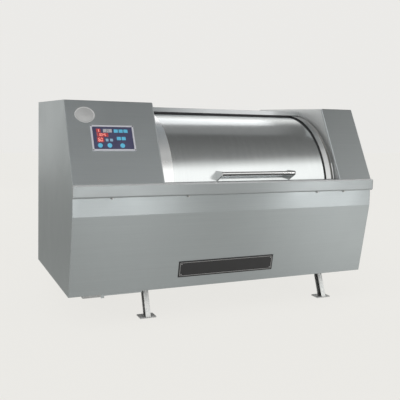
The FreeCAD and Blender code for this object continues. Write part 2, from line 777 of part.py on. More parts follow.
def panel_bezel():
    frame = on_slope(-BEZEL_WIDTH, -BEZEL_WIDTH, CONTROL_WIDTH, CONTROL_HEIGHT, 0, BEZEL_RISE)
    opening = on_slope(0, 0, CONTROL_WIDTH - 2 * BEZEL_WIDTH, CONTROL_HEIGHT - 2 * BEZEL_WIDTH, 0, BEZEL_RISE)
    return placed(frame.cut(opening), slope_frame)


def key_body(name, grow, low, high):
    """A key's plan shape, grown by a clearance."""
    if name in ROUND_KEYS:
        return round_on_slope(*ROUND_KEYS[name], ROUND_KEY_R + grow, low, high)
    x, s = SQUARE_KEYS[name]
    return on_slope(x - SQUARE_KEY[0] / 2 - grow, s - SQUARE_KEY[1] / 2 - grow,
                    SQUARE_KEY[0] + 2 * grow, SQUARE_KEY[1] + 2 * grow, low, high)


key_names = [*ROUND_KEYS, *SQUARE_KEYS]


def control_face():
    """Printed plate in the bezel, pierced for the keys."""
    plate = on_slope(FACE_GAP, FACE_GAP, CONTROL_WIDTH - 2 * (BEZEL_WIDTH + FACE_GAP),
                     CONTROL_HEIGHT - 2 * (BEZEL_WIDTH + FACE_GAP), 0, FACE_T)
    for name in key_names:
        plate = plate.cut(key_body(name, KEY_GAP, 0, FACE_T))
    return placed(plate, slope_frame)


def display_windows():
    return [placed(on_slope(x, s, long, high, FACE_T, FACE_T + WINDOW_T), slope_frame)
            for x, s, long, high in WINDOWS]


def key(name):
    return placed(key_body(name, 0.0, KEY_FOOT, FACE_T + KEY_RISE), slope_frame)


def drum_shell():
    x = (drum_x[0] + DRUM_END_T, drum_x[1] - DRUM_END_T)
    shell = ring(DRUM_R - DRUM_WALL, DRUM_R, x)
    return shell.cut(sector(DRUM_R - 2 * DRUM_WALL, DRUM_R + DRUM_WALL, drum_hatch_x, DRUM_HATCH_ANGLES))


def drum_ends():
    return [ring(SHAFT_R, DRUM_R, span(end, -tub_side - DRUM_END_T, -tub_side)) for end in (-1, 1)]


def drum_lifters():
    """Folded ribs along the inside of the drum, which lift the load as it turns."""
    x = (drum_x[0] + DRUM_END_T, drum_x[1] - DRUM_END_T)
    bore = disc(DRUM_R - DRUM_WALL, x)
    ribs = []
    for angle in LIFTER_ANGLES:
        half = math.degrees(LIFTER_HALF_BASE / DRUM_R)

        def fold(margin):
            spread = half - math.degrees(margin / DRUM_R) * 1.6
            crest = DRUM_R - DRUM_WALL - LIFTER_HEIGHT + 2 * margin
            return [on_arc(DRUM_R, angle - spread), on_arc(crest, angle - spread / 4),
                    on_arc(crest, angle + spread / 4), on_arc(DRUM_R, angle + spread)]

        ribs.append(prism(fold(0.0), x).cut(prism(fold(LIFTER_SHEET), x)).common(bore))
    return ribs


def drum_shafts():
    """Trunnions: a flange inside each drum end and a journal out through the bearing."""
    shafts = []
    for end in (-1, 1):
        face = tub_side + DRUM_END_T
        far = PULLEY_OFFSET + PULLEY_WIDTH + SHAFT_PAST_CAP if end == -1 else cap_out[1] + SHAFT_PAST_CAP
        journal = disc(SHAFT_R, span(end, -face, far))
        flange = disc(SHAFT_FLANGE_R, span(end, -face - SHAFT_FLANGE_T, -face))
        shafts.append(journal.fuse(flange).removeSplitter())
    return shafts


def grooved(radius, x, y, z):
    """A pulley blank with rectangular belt grooves."""
    blank = disc(radius, x, y, z)
    middle = sum(x) / 2
    for n in range(GROOVE_COUNT):
        centre = middle + (n - (GROOVE_COUNT - 1) / 2) * GROOVE_PITCH
        groove_x = (centre - GROOVE_WIDTH / 2, centre + GROOVE_WIDTH / 2)
        blank = blank.cut(ring(radius - GROOVE_DEPTH, radius + GROOVE_DEPTH, groove_x, y, z))
    return blank


pulley_x = span(-1, PULLEY_OFFSET, PULLEY_OFFSET + PULLEY_WIDTH)


def drum_pulley():
    blank = grooved(PULLEY_R, pulley_x, axis_y, axis_z)
    middle = sum(pulley_x) / 2
    web = (middle - PULLEY_WEB / 2, middle + PULLEY_WEB / 2)
    for x in ((pulley_x[0], web[0]), (web[1], pulley_x[1])):
        blank = blank.cut(ring(PULLEY_HUB_R, PULLEY_R - PULLEY_RIM, x))
    return blank.cut(disc(SHAFT_R, pulley_x))


def guide_arc():
    lap = INNER_DOOR_LAP_ANGLE * 2
    return (DRUM_HATCH_ANGLES[0] - lap, DRUM_HATCH_ANGLES[1] + INNER_DOOR_TRAVEL_ANGLE + lap)


inner_door_x = (drum_hatch_x[0] - INNER_DOOR_END_LAP, drum_hatch_x[1] + INNER_DOOR_END_LAP)
inner_door_r = DRUM_R + INNER_DOOR_GAP


def inner_door_guides():
    """Curved angle strips on the drum that hold the ends of the inner door."""
    low = inner_door_r + INNER_DOOR_T + INNER_DOOR_GAP
    strips = []
    for end in (-1, 1):
        edge = inner_door_x[(end + 1) // 2] + end * INNER_DOOR_GAP
        web = sector(DRUM_R, low + GUIDE_T, tuple(sorted((edge, edge + end * GUIDE_T))), guide_arc())
        lip_x = tuple(sorted((edge - end * GUIDE_LIP, edge + end * GUIDE_T)))
        lip = sector(low, low + GUIDE_T, lip_x, guide_arc())
        strips.append(web.fuse(lip).removeSplitter())
    return strips


def inner_door():
    """Curved hatch leaf and the grip welded along its lower edge."""
    leaf = sector(inner_door_r, inner_door_r + INNER_DOOR_T, inner_door_x,
                  (DRUM_HATCH_ANGLES[0] - INNER_DOOR_LAP_ANGLE, DRUM_HATCH_ANGLES[1] + INNER_DOOR_LAP_ANGLE))
    grip_arc = math.degrees(GRIP_T / DRUM_R)
    grip = sector(inner_door_r + INNER_DOOR_T, inner_door_r + INNER_DOOR_T + GRIP_HEIGHT,
                  (middle_x - GRIP_LENGTH / 2, middle_x + GRIP_LENGTH / 2),
                  (DRUM_HATCH_ANGLES[0] + grip_arc, DRUM_HATCH_ANGLES[0] + 2 * grip_arc))
    return [leaf, grip]


def loop_face(r_big, r_small, x):
    """The outline of a belt round the two pulleys, as a face at X."""
    reach = math.hypot(output_y - axis_y, output_z - axis_z)
    heading = math.atan2(output_z - axis_z, output_y - axis_y)
    lean = math.acos((r_big - r_small) / reach)

    def point(radius, y, z, angle):
        return V(x, y + radius * math.cos(angle), z + radius * math.sin(angle))

    big = [point(r_big, axis_y, axis_z, heading + a) for a in (lean, math.pi, -lean)]
    small = [point(r_small, output_y, output_z, heading + a) for a in (-lean, 0.0, lean)]
    edges = [
        Part.Arc(*big).toShape(),
        Part.LineSegment(big[2], small[0]).toShape(),
        Part.Arc(*small).toShape(),
        Part.LineSegment(small[2], big[0]).toShape(),
    ]
    return Part.Face(Part.Wire(edges))


def drive_belts():
    belts = []
    middle = sum(pulley_x) / 2
    big = PULLEY_R - GROOVE_DEPTH + BELT_GAP
    small = drive_pulley_r - GROOVE_DEPTH + BELT_GAP
    for n in range(GROOVE_COUNT):
        x = middle + (n - (GROOVE_COUNT - 1) / 2) * GROOVE_PITCH - BELT_WIDTH / 2
        outer = loop_face(big + BELT_T, small + BELT_T, x).extrude(V(BELT_WIDTH, 0, 0))
        belts.append(outer.cut(loop_face(big, small, x).extrude(V(BELT_WIDTH, 0, 0))))
    return belts


def drive_pulley():
    """Small pulley on the reducer's output shaft."""
    shaft = disc(OUTPUT_R, span(-1, PULLEY_OFFSET, reducer_start + OUTPUT_DEPTH), output_y, output_z)
    return grooved(drive_pulley_r, pulley_x, output_y, output_z).fuse(shaft).removeSplitter()


def gear_reducer():
    shoulder = reducer_start + REDUCER_BOSS
    body = disc(REDUCER_R, span(-1, shoulder, motor_start), output_y, output_z)
    boss = disc(REDUCER_BOSS_R, span(-1, reducer_start, shoulder), output_y, output_z)
    socket_x = span(-1, reducer_start, reducer_start + OUTPUT_DEPTH)
    socket = disc(OUTPUT_R + RUNNING_GAP, socket_x, output_y, output_z)
    return body.fuse(boss).removeSplitter().cut(socket)


fan_start = motor_start + SHIELD_T + MOTOR_LENGTH


def motor():
    """Finned motor with its end shield, terminal box, feet and pierced fan cover."""
    shield = disc(REDUCER_R, span(-1, motor_start, motor_start + SHIELD_T), output_y, output_z)
    points = []
    pitch = 2 * math.pi / FIN_COUNT
    for n in range(FIN_COUNT):
        for share, radius in ((0, MOTOR_R), (0, MOTOR_R + FIN_HEIGHT), (FIN_SHARE, MOTOR_R + FIN_HEIGHT),
                              (FIN_SHARE, MOTOR_R)):
            angle = (n + share) * pitch
            points.append((output_y + radius * math.cos(angle), output_z + radius * math.sin(angle)))
    body_x = span(-1, motor_start + SHIELD_T, fan_start)
    body = prism(points, body_x)
    socket = disc(FAN_SHAFT_R + SEAL_GAP, span(-1, fan_start - SHIELD_T, fan_start), output_y, output_z)
    box_y = (output_y - TERMINAL_BOX[1] / 2, output_y + TERMINAL_BOX[1] / 2)
    box_z = (output_z + MOTOR_R, output_z + MOTOR_R + TERMINAL_BOX[2])
    middle = sum(body_x) / 2
    terminal = block((middle - TERMINAL_BOX[0] / 2, middle + TERMINAL_BOX[0] / 2), box_y, box_z)
    body = body.cut(socket).cut(terminal)
    foot_x = (cradle_x[0] + CRADLE_INSET, cradle_x[1] - CRADLE_INSET)
    bars = []
    for side in (-1, 1):
        near, far = sorted((side * (MOTOR_R - MOTOR_FOOT), side * MOTOR_R))
        foot = block(foot_x, (output_y + near, output_y + far), (CRADLE_Z + CRADLE_T, output_z))
        bars.append(foot.cut(disc(MOTOR_R + FIN_HEIGHT, body_x, output_y, output_z)))
    cover_x = span(-1, fan_start, motor_end)
    cover_r = MOTOR_R + FIN_HEIGHT
    hollow = disc(cover_r - FAN_COVER_T, span(-1, fan_start, motor_end - FAN_COVER_T), output_y, output_z)
    cover = disc(cover_r, cover_x, output_y, output_z).cut(hollow)
    for y, z in around(output_y, output_z, cover_r / 2, FAN_BLADES * 2):
        cover = cover.cut(disc(cover_r / 12, cover_x, y, z))
    return [shield, body, terminal, cover, *bars]


def motor_fan():
    """Cooling fan on the tail of the motor shaft."""
    fan_x = span(-1, fan_start + SHIELD_T, fan_start + SHIELD_T + FAN_WIDTH)
    hub = disc(2 * FAN_SHAFT_R, fan_x, output_y, output_z)
    tail_x = span(-1, fan_start - SHIELD_T + SEAL_GAP, fan_start + SHIELD_T)
    tail = disc(FAN_SHAFT_R, tail_x, output_y, output_z)
    shape = hub.fuse(tail)
    for n in range(FAN_BLADES):
        blade_z = (output_z - FAN_BLADE_T / 2, output_z + FAN_BLADE_T / 2)
        blade = block(fan_x, (output_y + FAN_SHAFT_R, output_y + FAN_R), blade_z)
        blade.rotate(V(0, output_y, output_z), V(1, 0, 0), n * 360 / FAN_BLADES)
        shape = shape.fuse(blade)
    return shape.removeSplitter()


cradle_x = span(-1, motor_start + SHIELD_T + MOTOR_LENGTH / 2 - CRADLE_LENGTH / 2,
                motor_start + SHIELD_T + MOTOR_LENGTH / 2 + CRADLE_LENGTH / 2)


def motor_cradle():
    """Tray under the motor and the two plates that hang it between the frame rails."""
    reach = rail_spread - BEAM / 2
    y = (axis_y - reach, axis_y + reach)
    high = TIE_Z + 2 * BEAM
    floor = CRADLE_Z + CRADLE_T
    return [block(cradle_x, y, (CRADLE_Z, floor)),
            block(cradle_x, (y[0], y[0] + CRADLE_T), (floor, high)),
            block(cradle_x, (y[1] - CRADLE_T, y[1]), (floor, high))]


neck_x = middle_x + NECK_OFFSET
valve_top = TUB_BOTTOM_Z - NECK_LENGTH
valve_low = valve_top - VALVE_HEIGHT
valve_z = (valve_top + valve_low) / 2
valve_bore = NECK_R - NECK_WALL
outlet_z = valve_low - OUTLET_DROP - OUTLET_R


def upright(radius, z):
    return Part.makeCylinder(radius, z[1] - z[0], V(neck_x, axis_y, z[0]))


def outlet_bend(radius):
    low = upright(radius, (outlet_z, valve_low)).fuse(Part.makeSphere(radius, V(neck_x, axis_y, outlet_z)))
    return low.fuse(along_y(radius, (axis_y, axis_y + OUTLET_R), neck_x, outlet_z))


def drain_pipework():
    """Neck under the tub, butterfly valve body with its actuator, and the outlet pipe to the back."""
    neck_z = (valve_top, axis_z)
    neck = upright(NECK_R, neck_z).cut(upright(valve_bore, neck_z)).cut(disc(tub_r_in, tub_x))
    neck = neck.cut(block(tub_x, (axis_y - tub_r, axis_y + tub_r), (axis_z - DRUM_R, axis_z)))
    valve_span = (valve_low, valve_top)
    stem_hole = disc(DISC_STEM_R + RUNNING_GAP, (neck_x - valve_bore - DISC_STEM_R, neck_x + VALVE_R),
                     axis_y, valve_z)
    valve = upright(VALVE_R, valve_span).cut(upright(valve_bore, valve_span)).cut(stem_hole)
    bore_r = OUTLET_R - OUTLET_WALL
    bend = outlet_bend(OUTLET_R).cut(outlet_bend(bore_r))
    run_y = (axis_y + OUTLET_R, back_y)
    run = along_y(OUTLET_R, (run_y[0], back_y - SPIGOT_LENGTH), neck_x, outlet_z)
    run = run.fuse(along_y(OUTLET_R - SPIGOT_STEP, (back_y - SPIGOT_LENGTH, back_y), neck_x, outlet_z))
    run = run.cut(along_y(bore_r, run_y, neck_x, outlet_z))
    actuator = block((neck_x + VALVE_R, neck_x + VALVE_R + ACTUATOR[0]),
                     (axis_y - ACTUATOR[1] / 2, axis_y + ACTUATOR[1] / 2),
                     (valve_z - ACTUATOR[2] / 2, valve_z + ACTUATOR[2] / 2))
    return [neck, valve, bend, run, actuator]


def drain_disc():
    """Butterfly disc and its stem, closed across the valve."""
    plate = Part.makeCylinder(valve_bore - DISC_GAP, DISC_T, V(neck_x, axis_y, valve_z - DISC_T / 2))
    ball = Part.makeSphere(valve_bore - DISC_GAP, V(neck_x, axis_y, valve_z))
    stem_x = (neck_x - valve_bore - DISC_STEM_R + DISC_GAP, neck_x + VALVE_R - DISC_GAP)
    return plate.common(ball).fuse(disc(DISC_STEM_R, stem_x, axis_y, valve_z)).removeSplitter()


def inlet_pipes():
    """Water and steam inlets: an elbow on the tub end, a run to the back and a valve on the run."""
    pieces = []
    pipe_x = wall_x[1] + INLET_OFFSET
    across = (wall_x[1] - WALL_GAP - TUB_END_T, pipe_x)
    for dy, dz in INLET_POINTS:
        y, z = axis_y + dy, axis_z + dz

        def elbow(radius):
            corner = disc(radius, across, y, z).fuse(Part.makeSphere(radius, V(pipe_x, y, z)))
            return corner.fuse(along_y(radius, (y, y + INLET_R), pipe_x, z))

        pieces.append(elbow(INLET_R).cut(elbow(INLET_BORE_R)))
        run_y = (y + INLET_R, back_y)
        run = along_y(INLET_R, run_y, pipe_x, z).cut(along_y(INLET_BORE_R, run_y, pipe_x, z))
        pieces.append(run.cut(along_y(SOCKET_R, (back_y - SOCKET_DEPTH, back_y), pipe_x, z)))
        valve_y = (back_y - INLET_VALVE_INSET - INLET_VALVE_LENGTH, back_y - INLET_VALVE_INSET)
        pieces.append(along_y(INLET_VALVE_R, valve_y, pipe_x, z).cut(along_y(INLET_R, valve_y, pipe_x, z)))
    return pieces


def electrical_box():
    """Steel control box on the inside of the left side panel, and the power gland inside the back sheet."""
    x = (inner_x[0], inner_x[0] + BOX_SIZE[0])
    case = block(x, (axis_y - BOX_SIZE[1] / 2 + BOX_BACK, axis_y + BOX_SIZE[1] / 2 + BOX_BACK),
                 (BOX_BASE, BOX_BASE + BOX_SIZE[2]))
    gland_y = (rear_y[0] - GLAND_LENGTH, rear_y[0])
    gland = along_y(GLAND_R, gland_y, left_x + GLAND_X, GLAND_Z)
    return [case, gland.cut(along_y(GLAND_BORE_R, gland_y, left_x + GLAND_X, GLAND_Z))]


def export():
    parts = {
        "foot_plates": feet(),
        "stand_legs": legs(),
        "tie_beams": tie_beams(),
        "frame_rails": frame_rails(),
        "bearing_pedestals": pedestals(),
        "main_bearings": bearings(),
        "bearing_caps": bearing_caps(),
        "seal_housings": seal_housings(),
        "shaft_seals": shaft_seals(),
        "tub_saddles": saddles(),
        "tub_shell": tub_shell(),
        "tub_ends": tub_ends(),
        "door_rails": door_rails(),
        "door_seals": door_seals(),
        "door_skin": door_skin(),
        "door_glides": door_glides(),
        "handle_bar": handle_bar(),
        "handle_brackets": handle_brackets(),
        "hood_cover": hood_cover(),
        "left_side_panel": side_panel(-1),
        "right_side_panel": side_panel(1),
        "inner_walls": inner_walls(),
        "left_fascia": fascia(-1),
        "right_fascia": fascia(1),
        "top_panels": top_panels(),
        "front_panel": front_panel(),
        "apron_ledge": apron_ledge(),
        "door_sill": door_sill(),
        "rear_panels": rear_panels(),
        "panel_screws": panel_screws(),
        "nameplate": nameplate(),
        "panel_bezel": panel_bezel(),
        "control_face": control_face(),
        "display_windows": display_windows(),
        "drum_shell": drum_shell(),
        "drum_ends": drum_ends(),
        "drum_lifters": drum_lifters(),
        "drum_shafts": drum_shafts(),
        "drum_pulley": drum_pulley(),
        "inner_door_guides": inner_door_guides(),
        "inner_door": inner_door(),
        "drive_belts": drive_belts(),
        "drive_pulley": drive_pulley(),
        "gear_reducer": gear_reducer(),
        "motor": motor(),
        "motor_fan": motor_fan(),
        "motor_cradle": motor_cradle(),
        "drain_pipework": drain_pipework(),
        "drain_disc": drain_disc(),
        "inlet_pipes": inlet_pipes(),
        "electrical_box": electrical_box(),
        **{name: key(name) for name in key_names},
    }
    os.makedirs("parts", exist_ok=True)
    for name, shape in parts.items():
        if isinstance(shape, list):
            shape = Part.makeCompound(shape)
        shape.exportStep(f"parts/{name}.step")


export()
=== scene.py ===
import math

import bmesh
import bpy
from mathutils import Matrix, Vector


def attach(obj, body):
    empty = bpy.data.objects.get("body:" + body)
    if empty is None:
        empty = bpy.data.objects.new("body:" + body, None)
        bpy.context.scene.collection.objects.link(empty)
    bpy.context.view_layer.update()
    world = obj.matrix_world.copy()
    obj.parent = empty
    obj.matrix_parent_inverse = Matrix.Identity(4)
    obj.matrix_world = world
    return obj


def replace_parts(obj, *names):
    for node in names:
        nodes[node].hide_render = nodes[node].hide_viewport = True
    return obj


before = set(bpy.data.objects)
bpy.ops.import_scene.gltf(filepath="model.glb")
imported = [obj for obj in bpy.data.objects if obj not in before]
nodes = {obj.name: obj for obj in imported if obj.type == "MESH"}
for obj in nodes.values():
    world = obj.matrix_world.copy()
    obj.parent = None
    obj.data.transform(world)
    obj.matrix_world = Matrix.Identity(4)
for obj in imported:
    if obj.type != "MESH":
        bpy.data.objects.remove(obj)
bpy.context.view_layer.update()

# Stand: four splayed channel legs on square foot plates, with box-section ties and rails between them.
# The members are welded up and hot-dip galvanised, so the zinc shows its spangle; on the plates, which
# stand on the floor, it has gone dull.


def add(tree, kind, values=None, **fields):
    """One shader node: its fields, then each socket's value or the socket that feeds it."""
    made = tree.nodes.new("ShaderNode" + kind)
    for field, value in fields.items():
        setattr(made, field, value)
    for socket, value in (values or {}).items():
        if isinstance(value, bpy.types.NodeSocket):
            tree.links.new(value, made.inputs[socket])
        else:
            made.inputs[socket].default_value = value
    return made


def ranged(tree, value, low, high, start=0.0, end=1.0):
    """A value from start to end, stretched to run from low to high."""
    return add(tree, "MapRange", {0: value, 1: start, 2: end, 3: low, 4: high}).outputs[0]


def product(tree, first, second):
    """Two shares, or a share and a number, multiplied."""
    return add(tree, "Math", {0: first, 1: second}, operation="MULTIPLY").outputs[0]


def tinted(tree, share, plain, full):
    """The plain colour, turning to the full one as the share goes to 1."""
    return add(tree, "Mix", {0: share, 6: plain, 7: full}, data_type="RGBA").outputs[2]


def shade(colour, times):
    """A colour made that many times as light, but never quite white."""
    return tuple(min(times * part, 0.95) for part in colour[:3]) + (1.0,)


def relief(tree, shader, height, strength, depth, normal=None):
    """Fine relief on a surface, over its eased edges where it has them."""
    values = {"Strength": strength, "Distance": depth, "Height": height}
    if normal is not None:
        values["Normal"] = normal
    tree.links.new(add(tree, "Bump", values).outputs[0], shader["Normal"])


def effect(name, inputs, outputs):
    """A surface effect that several finishes share, as a node group."""
    tree = bpy.data.node_groups.new(name, "ShaderNodeTree")
    for label, kind, value in inputs:
        socket = tree.interface.new_socket(label, in_out="INPUT", socket_type="NodeSocket" + kind)
        socket.default_value = value
    for label, kind in outputs:
        tree.interface.new_socket(label, in_out="OUTPUT", socket_type="NodeSocket" + kind)
    return tree, tree.nodes.new("NodeGroupInput").outputs, tree.nodes.new("NodeGroupOutput").inputs


def finish(name, values):
    """A new surface finish, with the values that are the same all over it."""
    made = bpy.data.materials.new(name)
    made.use_nodes = True
    shader = made.node_tree.nodes["Principled BSDF"].inputs
    for socket, value in values.items():
        shader[socket].default_value = value
    return made, made.node_tree, shader


def dress(material, *names):
    """Puts a finish on the pieces of those names."""
    for name in names:
        for held in nodes[name].material_slots:
            held.material = material


edge_wear, given, result = effect("edge_wear", [("Radius", "Float", 0.003)],
                                  [("Edge", "Float"), ("Normal", "Vector")])
rounded = add(edge_wear, "Bevel", {"Radius": given["Radius"]}, samples=4).outputs[0]
flat = add(edge_wear, "NewGeometry").outputs["Normal"]
facing = add(edge_wear, "VectorMath", {0: rounded, 1: flat}, operation="DOT_PRODUCT").outputs["Value"]
bent = ranged(edge_wear, facing, 1.0, 0.0, 0.75, 0.995)
where = add(edge_wear, "TexCoord").outputs["Object"]
patches = add(edge_wear, "TexNoise", {"Vector": where, "Scale": 35.0, "Detail": 3.0}).outputs[0]
worn = product(edge_wear, bent, ranged(edge_wear, patches, 0.35, 1.0, 0.3, 0.7))
edge_wear.links.new(worn, result["Edge"])
edge_wear.links.new(rounded, result["Normal"])

smudges, given, result = effect("smudges", [("Scale", "Float", 2.5)], [("Mask", "Float")])
where = add(smudges, "TexCoord").outputs["Object"]
cloud = add(smudges, "TexNoise", {"Vector": where, "Scale": given["Scale"], "Detail": 6.0,
                                  "Distortion": 1.2}).outputs[0]
smudges.links.new(ranged(smudges, cloud, 0.0, 1.0, 0.4, 0.75), result["Mask"])

# Painted shade: darkens a surface where ambient occlusion finds a hollow, broken up a little by noise.
recess_grime, given, result = effect("recess_grime", [("Reach", "Float", 0.05)], [("Mask", "Float")])
open_share = add(recess_grime, "AmbientOcclusion", {"Distance": given["Reach"]}, samples=8).outputs["AO"]
where = add(recess_grime, "TexCoord").outputs["Object"]
patches = add(recess_grime, "TexNoise", {"Vector": where, "Scale": 24.0, "Detail": 4.0}).outputs[0]
caught = product(recess_grime, ranged(recess_grime, open_share, 1.0, 0.0, 0.3, 0.85),
                 ranged(recess_grime, patches, 0.75, 1.0, 0.3, 0.7))
recess_grime.links.new(caught, result["Mask"])

# The colour of the painted shade in the hollows of galvanised parts.
GRIME = (0.04, 0.04, 0.038, 1)


def zinc_coat(name, dull, bright, grime):
    """Galvanised steel: zinc crystals, painted shade in the hollows and rubbed edges."""
    made, tree, shader = finish(name, {"Metallic": 0.4})
    where = add(tree, "TexCoord").outputs["Object"]
    crystals = add(tree, "TexVoronoi", {"Vector": where, "Scale": 90.0}).outputs["Color"]
    spangle = add(tree, "SeparateColor", {0: crystals}).outputs[0]
    edge = add(tree, "Group", {"Radius": 0.003}, node_tree=edge_wear).outputs
    haze = add(tree, "Group", {"Scale": 9.0}, node_tree=smudges).outputs[0]
    dirt = add(tree, "Group", {"Reach": 0.06}, node_tree=recess_grime).outputs[0]
    coat = tinted(tree, spangle, dull, bright)
    coat = tinted(tree, ranged(tree, haze, 0.0, 0.35), coat, shade(dull, 0.8))
    coat = tinted(tree, edge["Edge"], coat, shade(bright, 1.1))
    # Painted shade darkens the hollows, to near black on the legs.
    coat = tinted(tree, ranged(tree, dirt, 0.0, grime), coat, GRIME)
    tree.links.new(coat, shader["Base Color"])
    tree.links.new(ranged(tree, spangle, 0.32, 0.5), shader["Roughness"])
    relief(tree, shader, spangle, 0.15, 0.0005, edge["Normal"])
    return made


leg_zinc = zinc_coat("leg_zinc", (0.64, 0.66, 0.66, 1), (0.8, 0.81, 0.8, 1), grime=1.0)
plate_zinc = zinc_coat("plate_zinc", (0.46, 0.47, 0.47, 1), (0.58, 0.59, 0.59, 1), grime=0.2)
frame_zinc = zinc_coat("frame_zinc", (0.42, 0.43, 0.43, 1), (0.55, 0.56, 0.56, 1), grime=0.6)
dress(leg_zinc, "stand_legs")
dress(plate_zinc, "foot_plates")
dress(frame_zinc, "tie_beams", "frame_rails", "tub_saddles", "motor_cradle")

# Bearing pedestals, caps and seal housings: grey iron castings under a coat of primer, at both ends of
# the tub. The bearing rings and the trunnion shafts that turn in them are turned bright.
cast_skin, given, result = effect("cast_skin", [("Scale", "Float", 260.0)],
                                  [("Shade", "Float"), ("Height", "Float")])
where = add(cast_skin, "TexCoord").outputs["Object"]
grains = add(cast_skin, "TexNoise", {"Vector": where, "Scale": given["Scale"], "Detail": 5.0,
                                     "Roughness": 0.65}).outputs[0]
lumps = add(cast_skin, "TexNoise", {"Vector": where, "Scale": 14.0, "Detail": 4.0}).outputs[0]
cast_skin.links.new(ranged(cast_skin, lumps, 0.0, 1.0, 0.32, 0.68), result["Shade"])
cast_skin.links.new(grains, result["Height"])


def casting(name, coat, roughness):
    """Painted rough casting with its edges rubbed lighter and painted shade in its hollows."""
    made, tree, shader = finish(name, {"Metallic": 0.2})
    skin = add(tree, "Group", {"Scale": 260.0}, node_tree=cast_skin).outputs
    edge = add(tree, "Group", {"Radius": 0.004}, node_tree=edge_wear).outputs
    dirt = add(tree, "Group", {"Reach": 0.04}, node_tree=recess_grime).outputs[0]
    paint = tinted(tree, skin["Shade"], shade(coat, 0.8), shade(coat, 1.2))
    paint = tinted(tree, edge["Edge"], paint, shade(coat, 2.0))
    # Painted shade darkens the hollows.
    paint = tinted(tree, ranged(tree, dirt, 0.0, 0.7), paint, shade(coat, 0.3))
    tree.links.new(paint, shader["Base Color"])
    tree.links.new(ranged(tree, skin["Shade"], roughness - 0.1, roughness + 0.1), shader["Roughness"])
    relief(tree, shader, skin["Height"], 0.35, 0.0008, edge["Normal"])
    return made


grey_primer = casting("grey_primer", (0.14, 0.15, 0.16), 0.6)
dress(grey_primer, "bearing_pedestals", "bearing_caps", "seal_housings")

TOOL_MARKS = (900.0, 140.0, 140.0)
turned_steel, tree, shader = finish("turned_steel", {"Metallic": 1.0})
where = add(tree, "TexCoord").outputs["Object"]
along = add(tree, "VectorMath", {0: where, 1: TOOL_MARKS}, operation="MULTIPLY").outputs[0]
passes = add(tree, "TexNoise", {"Vector": along, "Scale": 1.0, "Detail": 2.0}).outputs[0]
haze = add(tree, "Group", {"Scale": 6.0}, node_tree=smudges).outputs[0]
steel = tinted(tree, passes, (0.42, 0.42, 0.43, 1), (0.6, 0.6, 0.6, 1))
oiled = tinted(tree, ranged(tree, haze, 0.0, 0.4), steel, (0.25, 0.22, 0.18, 1))
tree.links.new(oiled, shader["Base Color"])
tree.links.new(ranged(tree, passes, 0.22, 0.38), shader["Roughness"])
relief(tree, shader, passes, 0.1, 0.0002)
dress(turned_steel, "main_bearings", "drum_shafts")

# Tub and drum: rolled stainless shells with flat ends, in a brushed finish. The drum and its sliding hatch
# are pierced all over so that the water runs through. The hatch runs in strips on the drum, and its grip
# is a short bar with eased edges.
brush_grain, given, result = effect("brush_grain", [("Stretch", "Vector", (4.0, 700.0, 700.0))],
                                    [("Shade", "Float"), ("Height", "Float")])
where = add(brush_grain, "TexCoord").outputs["Object"]
drawn = add(brush_grain, "VectorMath", {0: where, 1: given["Stretch"]}, operation="MULTIPLY").outputs[0]
hairs = add(brush_grain, "TexNoise", {"Vector": drawn, "Scale": 1.0, "Detail": 3.0,
                                      "Roughness": 0.6}).outputs[0]
bands = add(brush_grain, "TexNoise", {"Vector": drawn, "Scale": 0.12, "Detail": 2.0}).outputs[0]
strands = add(brush_grain, "Mix", {0: 0.15, 2: hairs, 3: bands}, data_type="FLOAT").outputs[0]
brush_grain.links.new(ranged(brush_grain, strands, 0.0, 1.0, 0.25, 0.75), result["Shade"])
brush_grain.links.new(hairs, result["Height"])


def brushed(name, colour, stretch, roughness, metallic, mark=0.25, rim=0.6, drag=0.0):
    """Brushed stainless sheet: hairlines along one way, faint smudges and rubbed edges.
    With a drag, lengthwise hairlines smear what the sheet mirrors up and down."""
    made, tree, shader = finish(name, {"Metallic": metallic, "Specular Tint": (rim, rim, rim, 1),
                                       "Anisotropic": drag})
    if drag:
        tree.links.new(add(tree, "CombineXYZ", {"Z": 1.0}).outputs[0], shader["Tangent"])
    grain = add(tree, "Group", {"Stretch": stretch}, node_tree=brush_grain).outputs
    edge = add(tree, "Group", {"Radius": 0.0025}, node_tree=edge_wear).outputs
    haze = add(tree, "Group", {"Scale": 2.2}, node_tree=smudges).outputs[0]
    sheet = tinted(tree, grain["Shade"], shade(colour, 0.93), shade(colour, 1.07))
    sheet = tinted(tree, ranged(tree, haze, 0.0, mark), sheet, shade(colour, 0.88))
    sheet = tinted(tree, ranged(tree, edge["Edge"], 0.0, 0.5), sheet, shade(colour, 1.3))
    tree.links.new(sheet, shader["Base Color"])
    lines = ranged(tree, grain["Shade"], roughness - 0.03, roughness + 0.03)
    greasy = add(tree, "Math", {0: lines, 1: ranged(tree, haze, 0.0, 0.05)}, operation="ADD").outputs[0]
    tree.links.new(greasy, shader["Roughness"])
    relief(tree, shader, grain["Height"], 0.05, 0.0001, edge["Normal"])
    return made


ROUND_AXIS = (500.0, 4.0, 4.0)
tub_steel = brushed("tub_steel", (0.46, 0.47, 0.47), ROUND_AXIS, roughness=0.36, metallic=0.9, mark=0.4)
drum_steel = brushed("drum_steel", (0.6, 0.61, 0.61), ROUND_AXIS, roughness=0.27, metallic=0.95, mark=0.3)
dress(tub_steel, "tub_shell", "tub_ends")
dress(drum_steel, "drum_ends", "drum_lifters", "inner_door_guides")


def piece(name, mesh, material, body):
    """A new object of that mesh, dressed and riding on a body."""
    made = bpy.data.objects.new(name, mesh)
    bpy.context.collection.objects.link(made)
    mesh.materials.append(material)
    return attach(made, body)


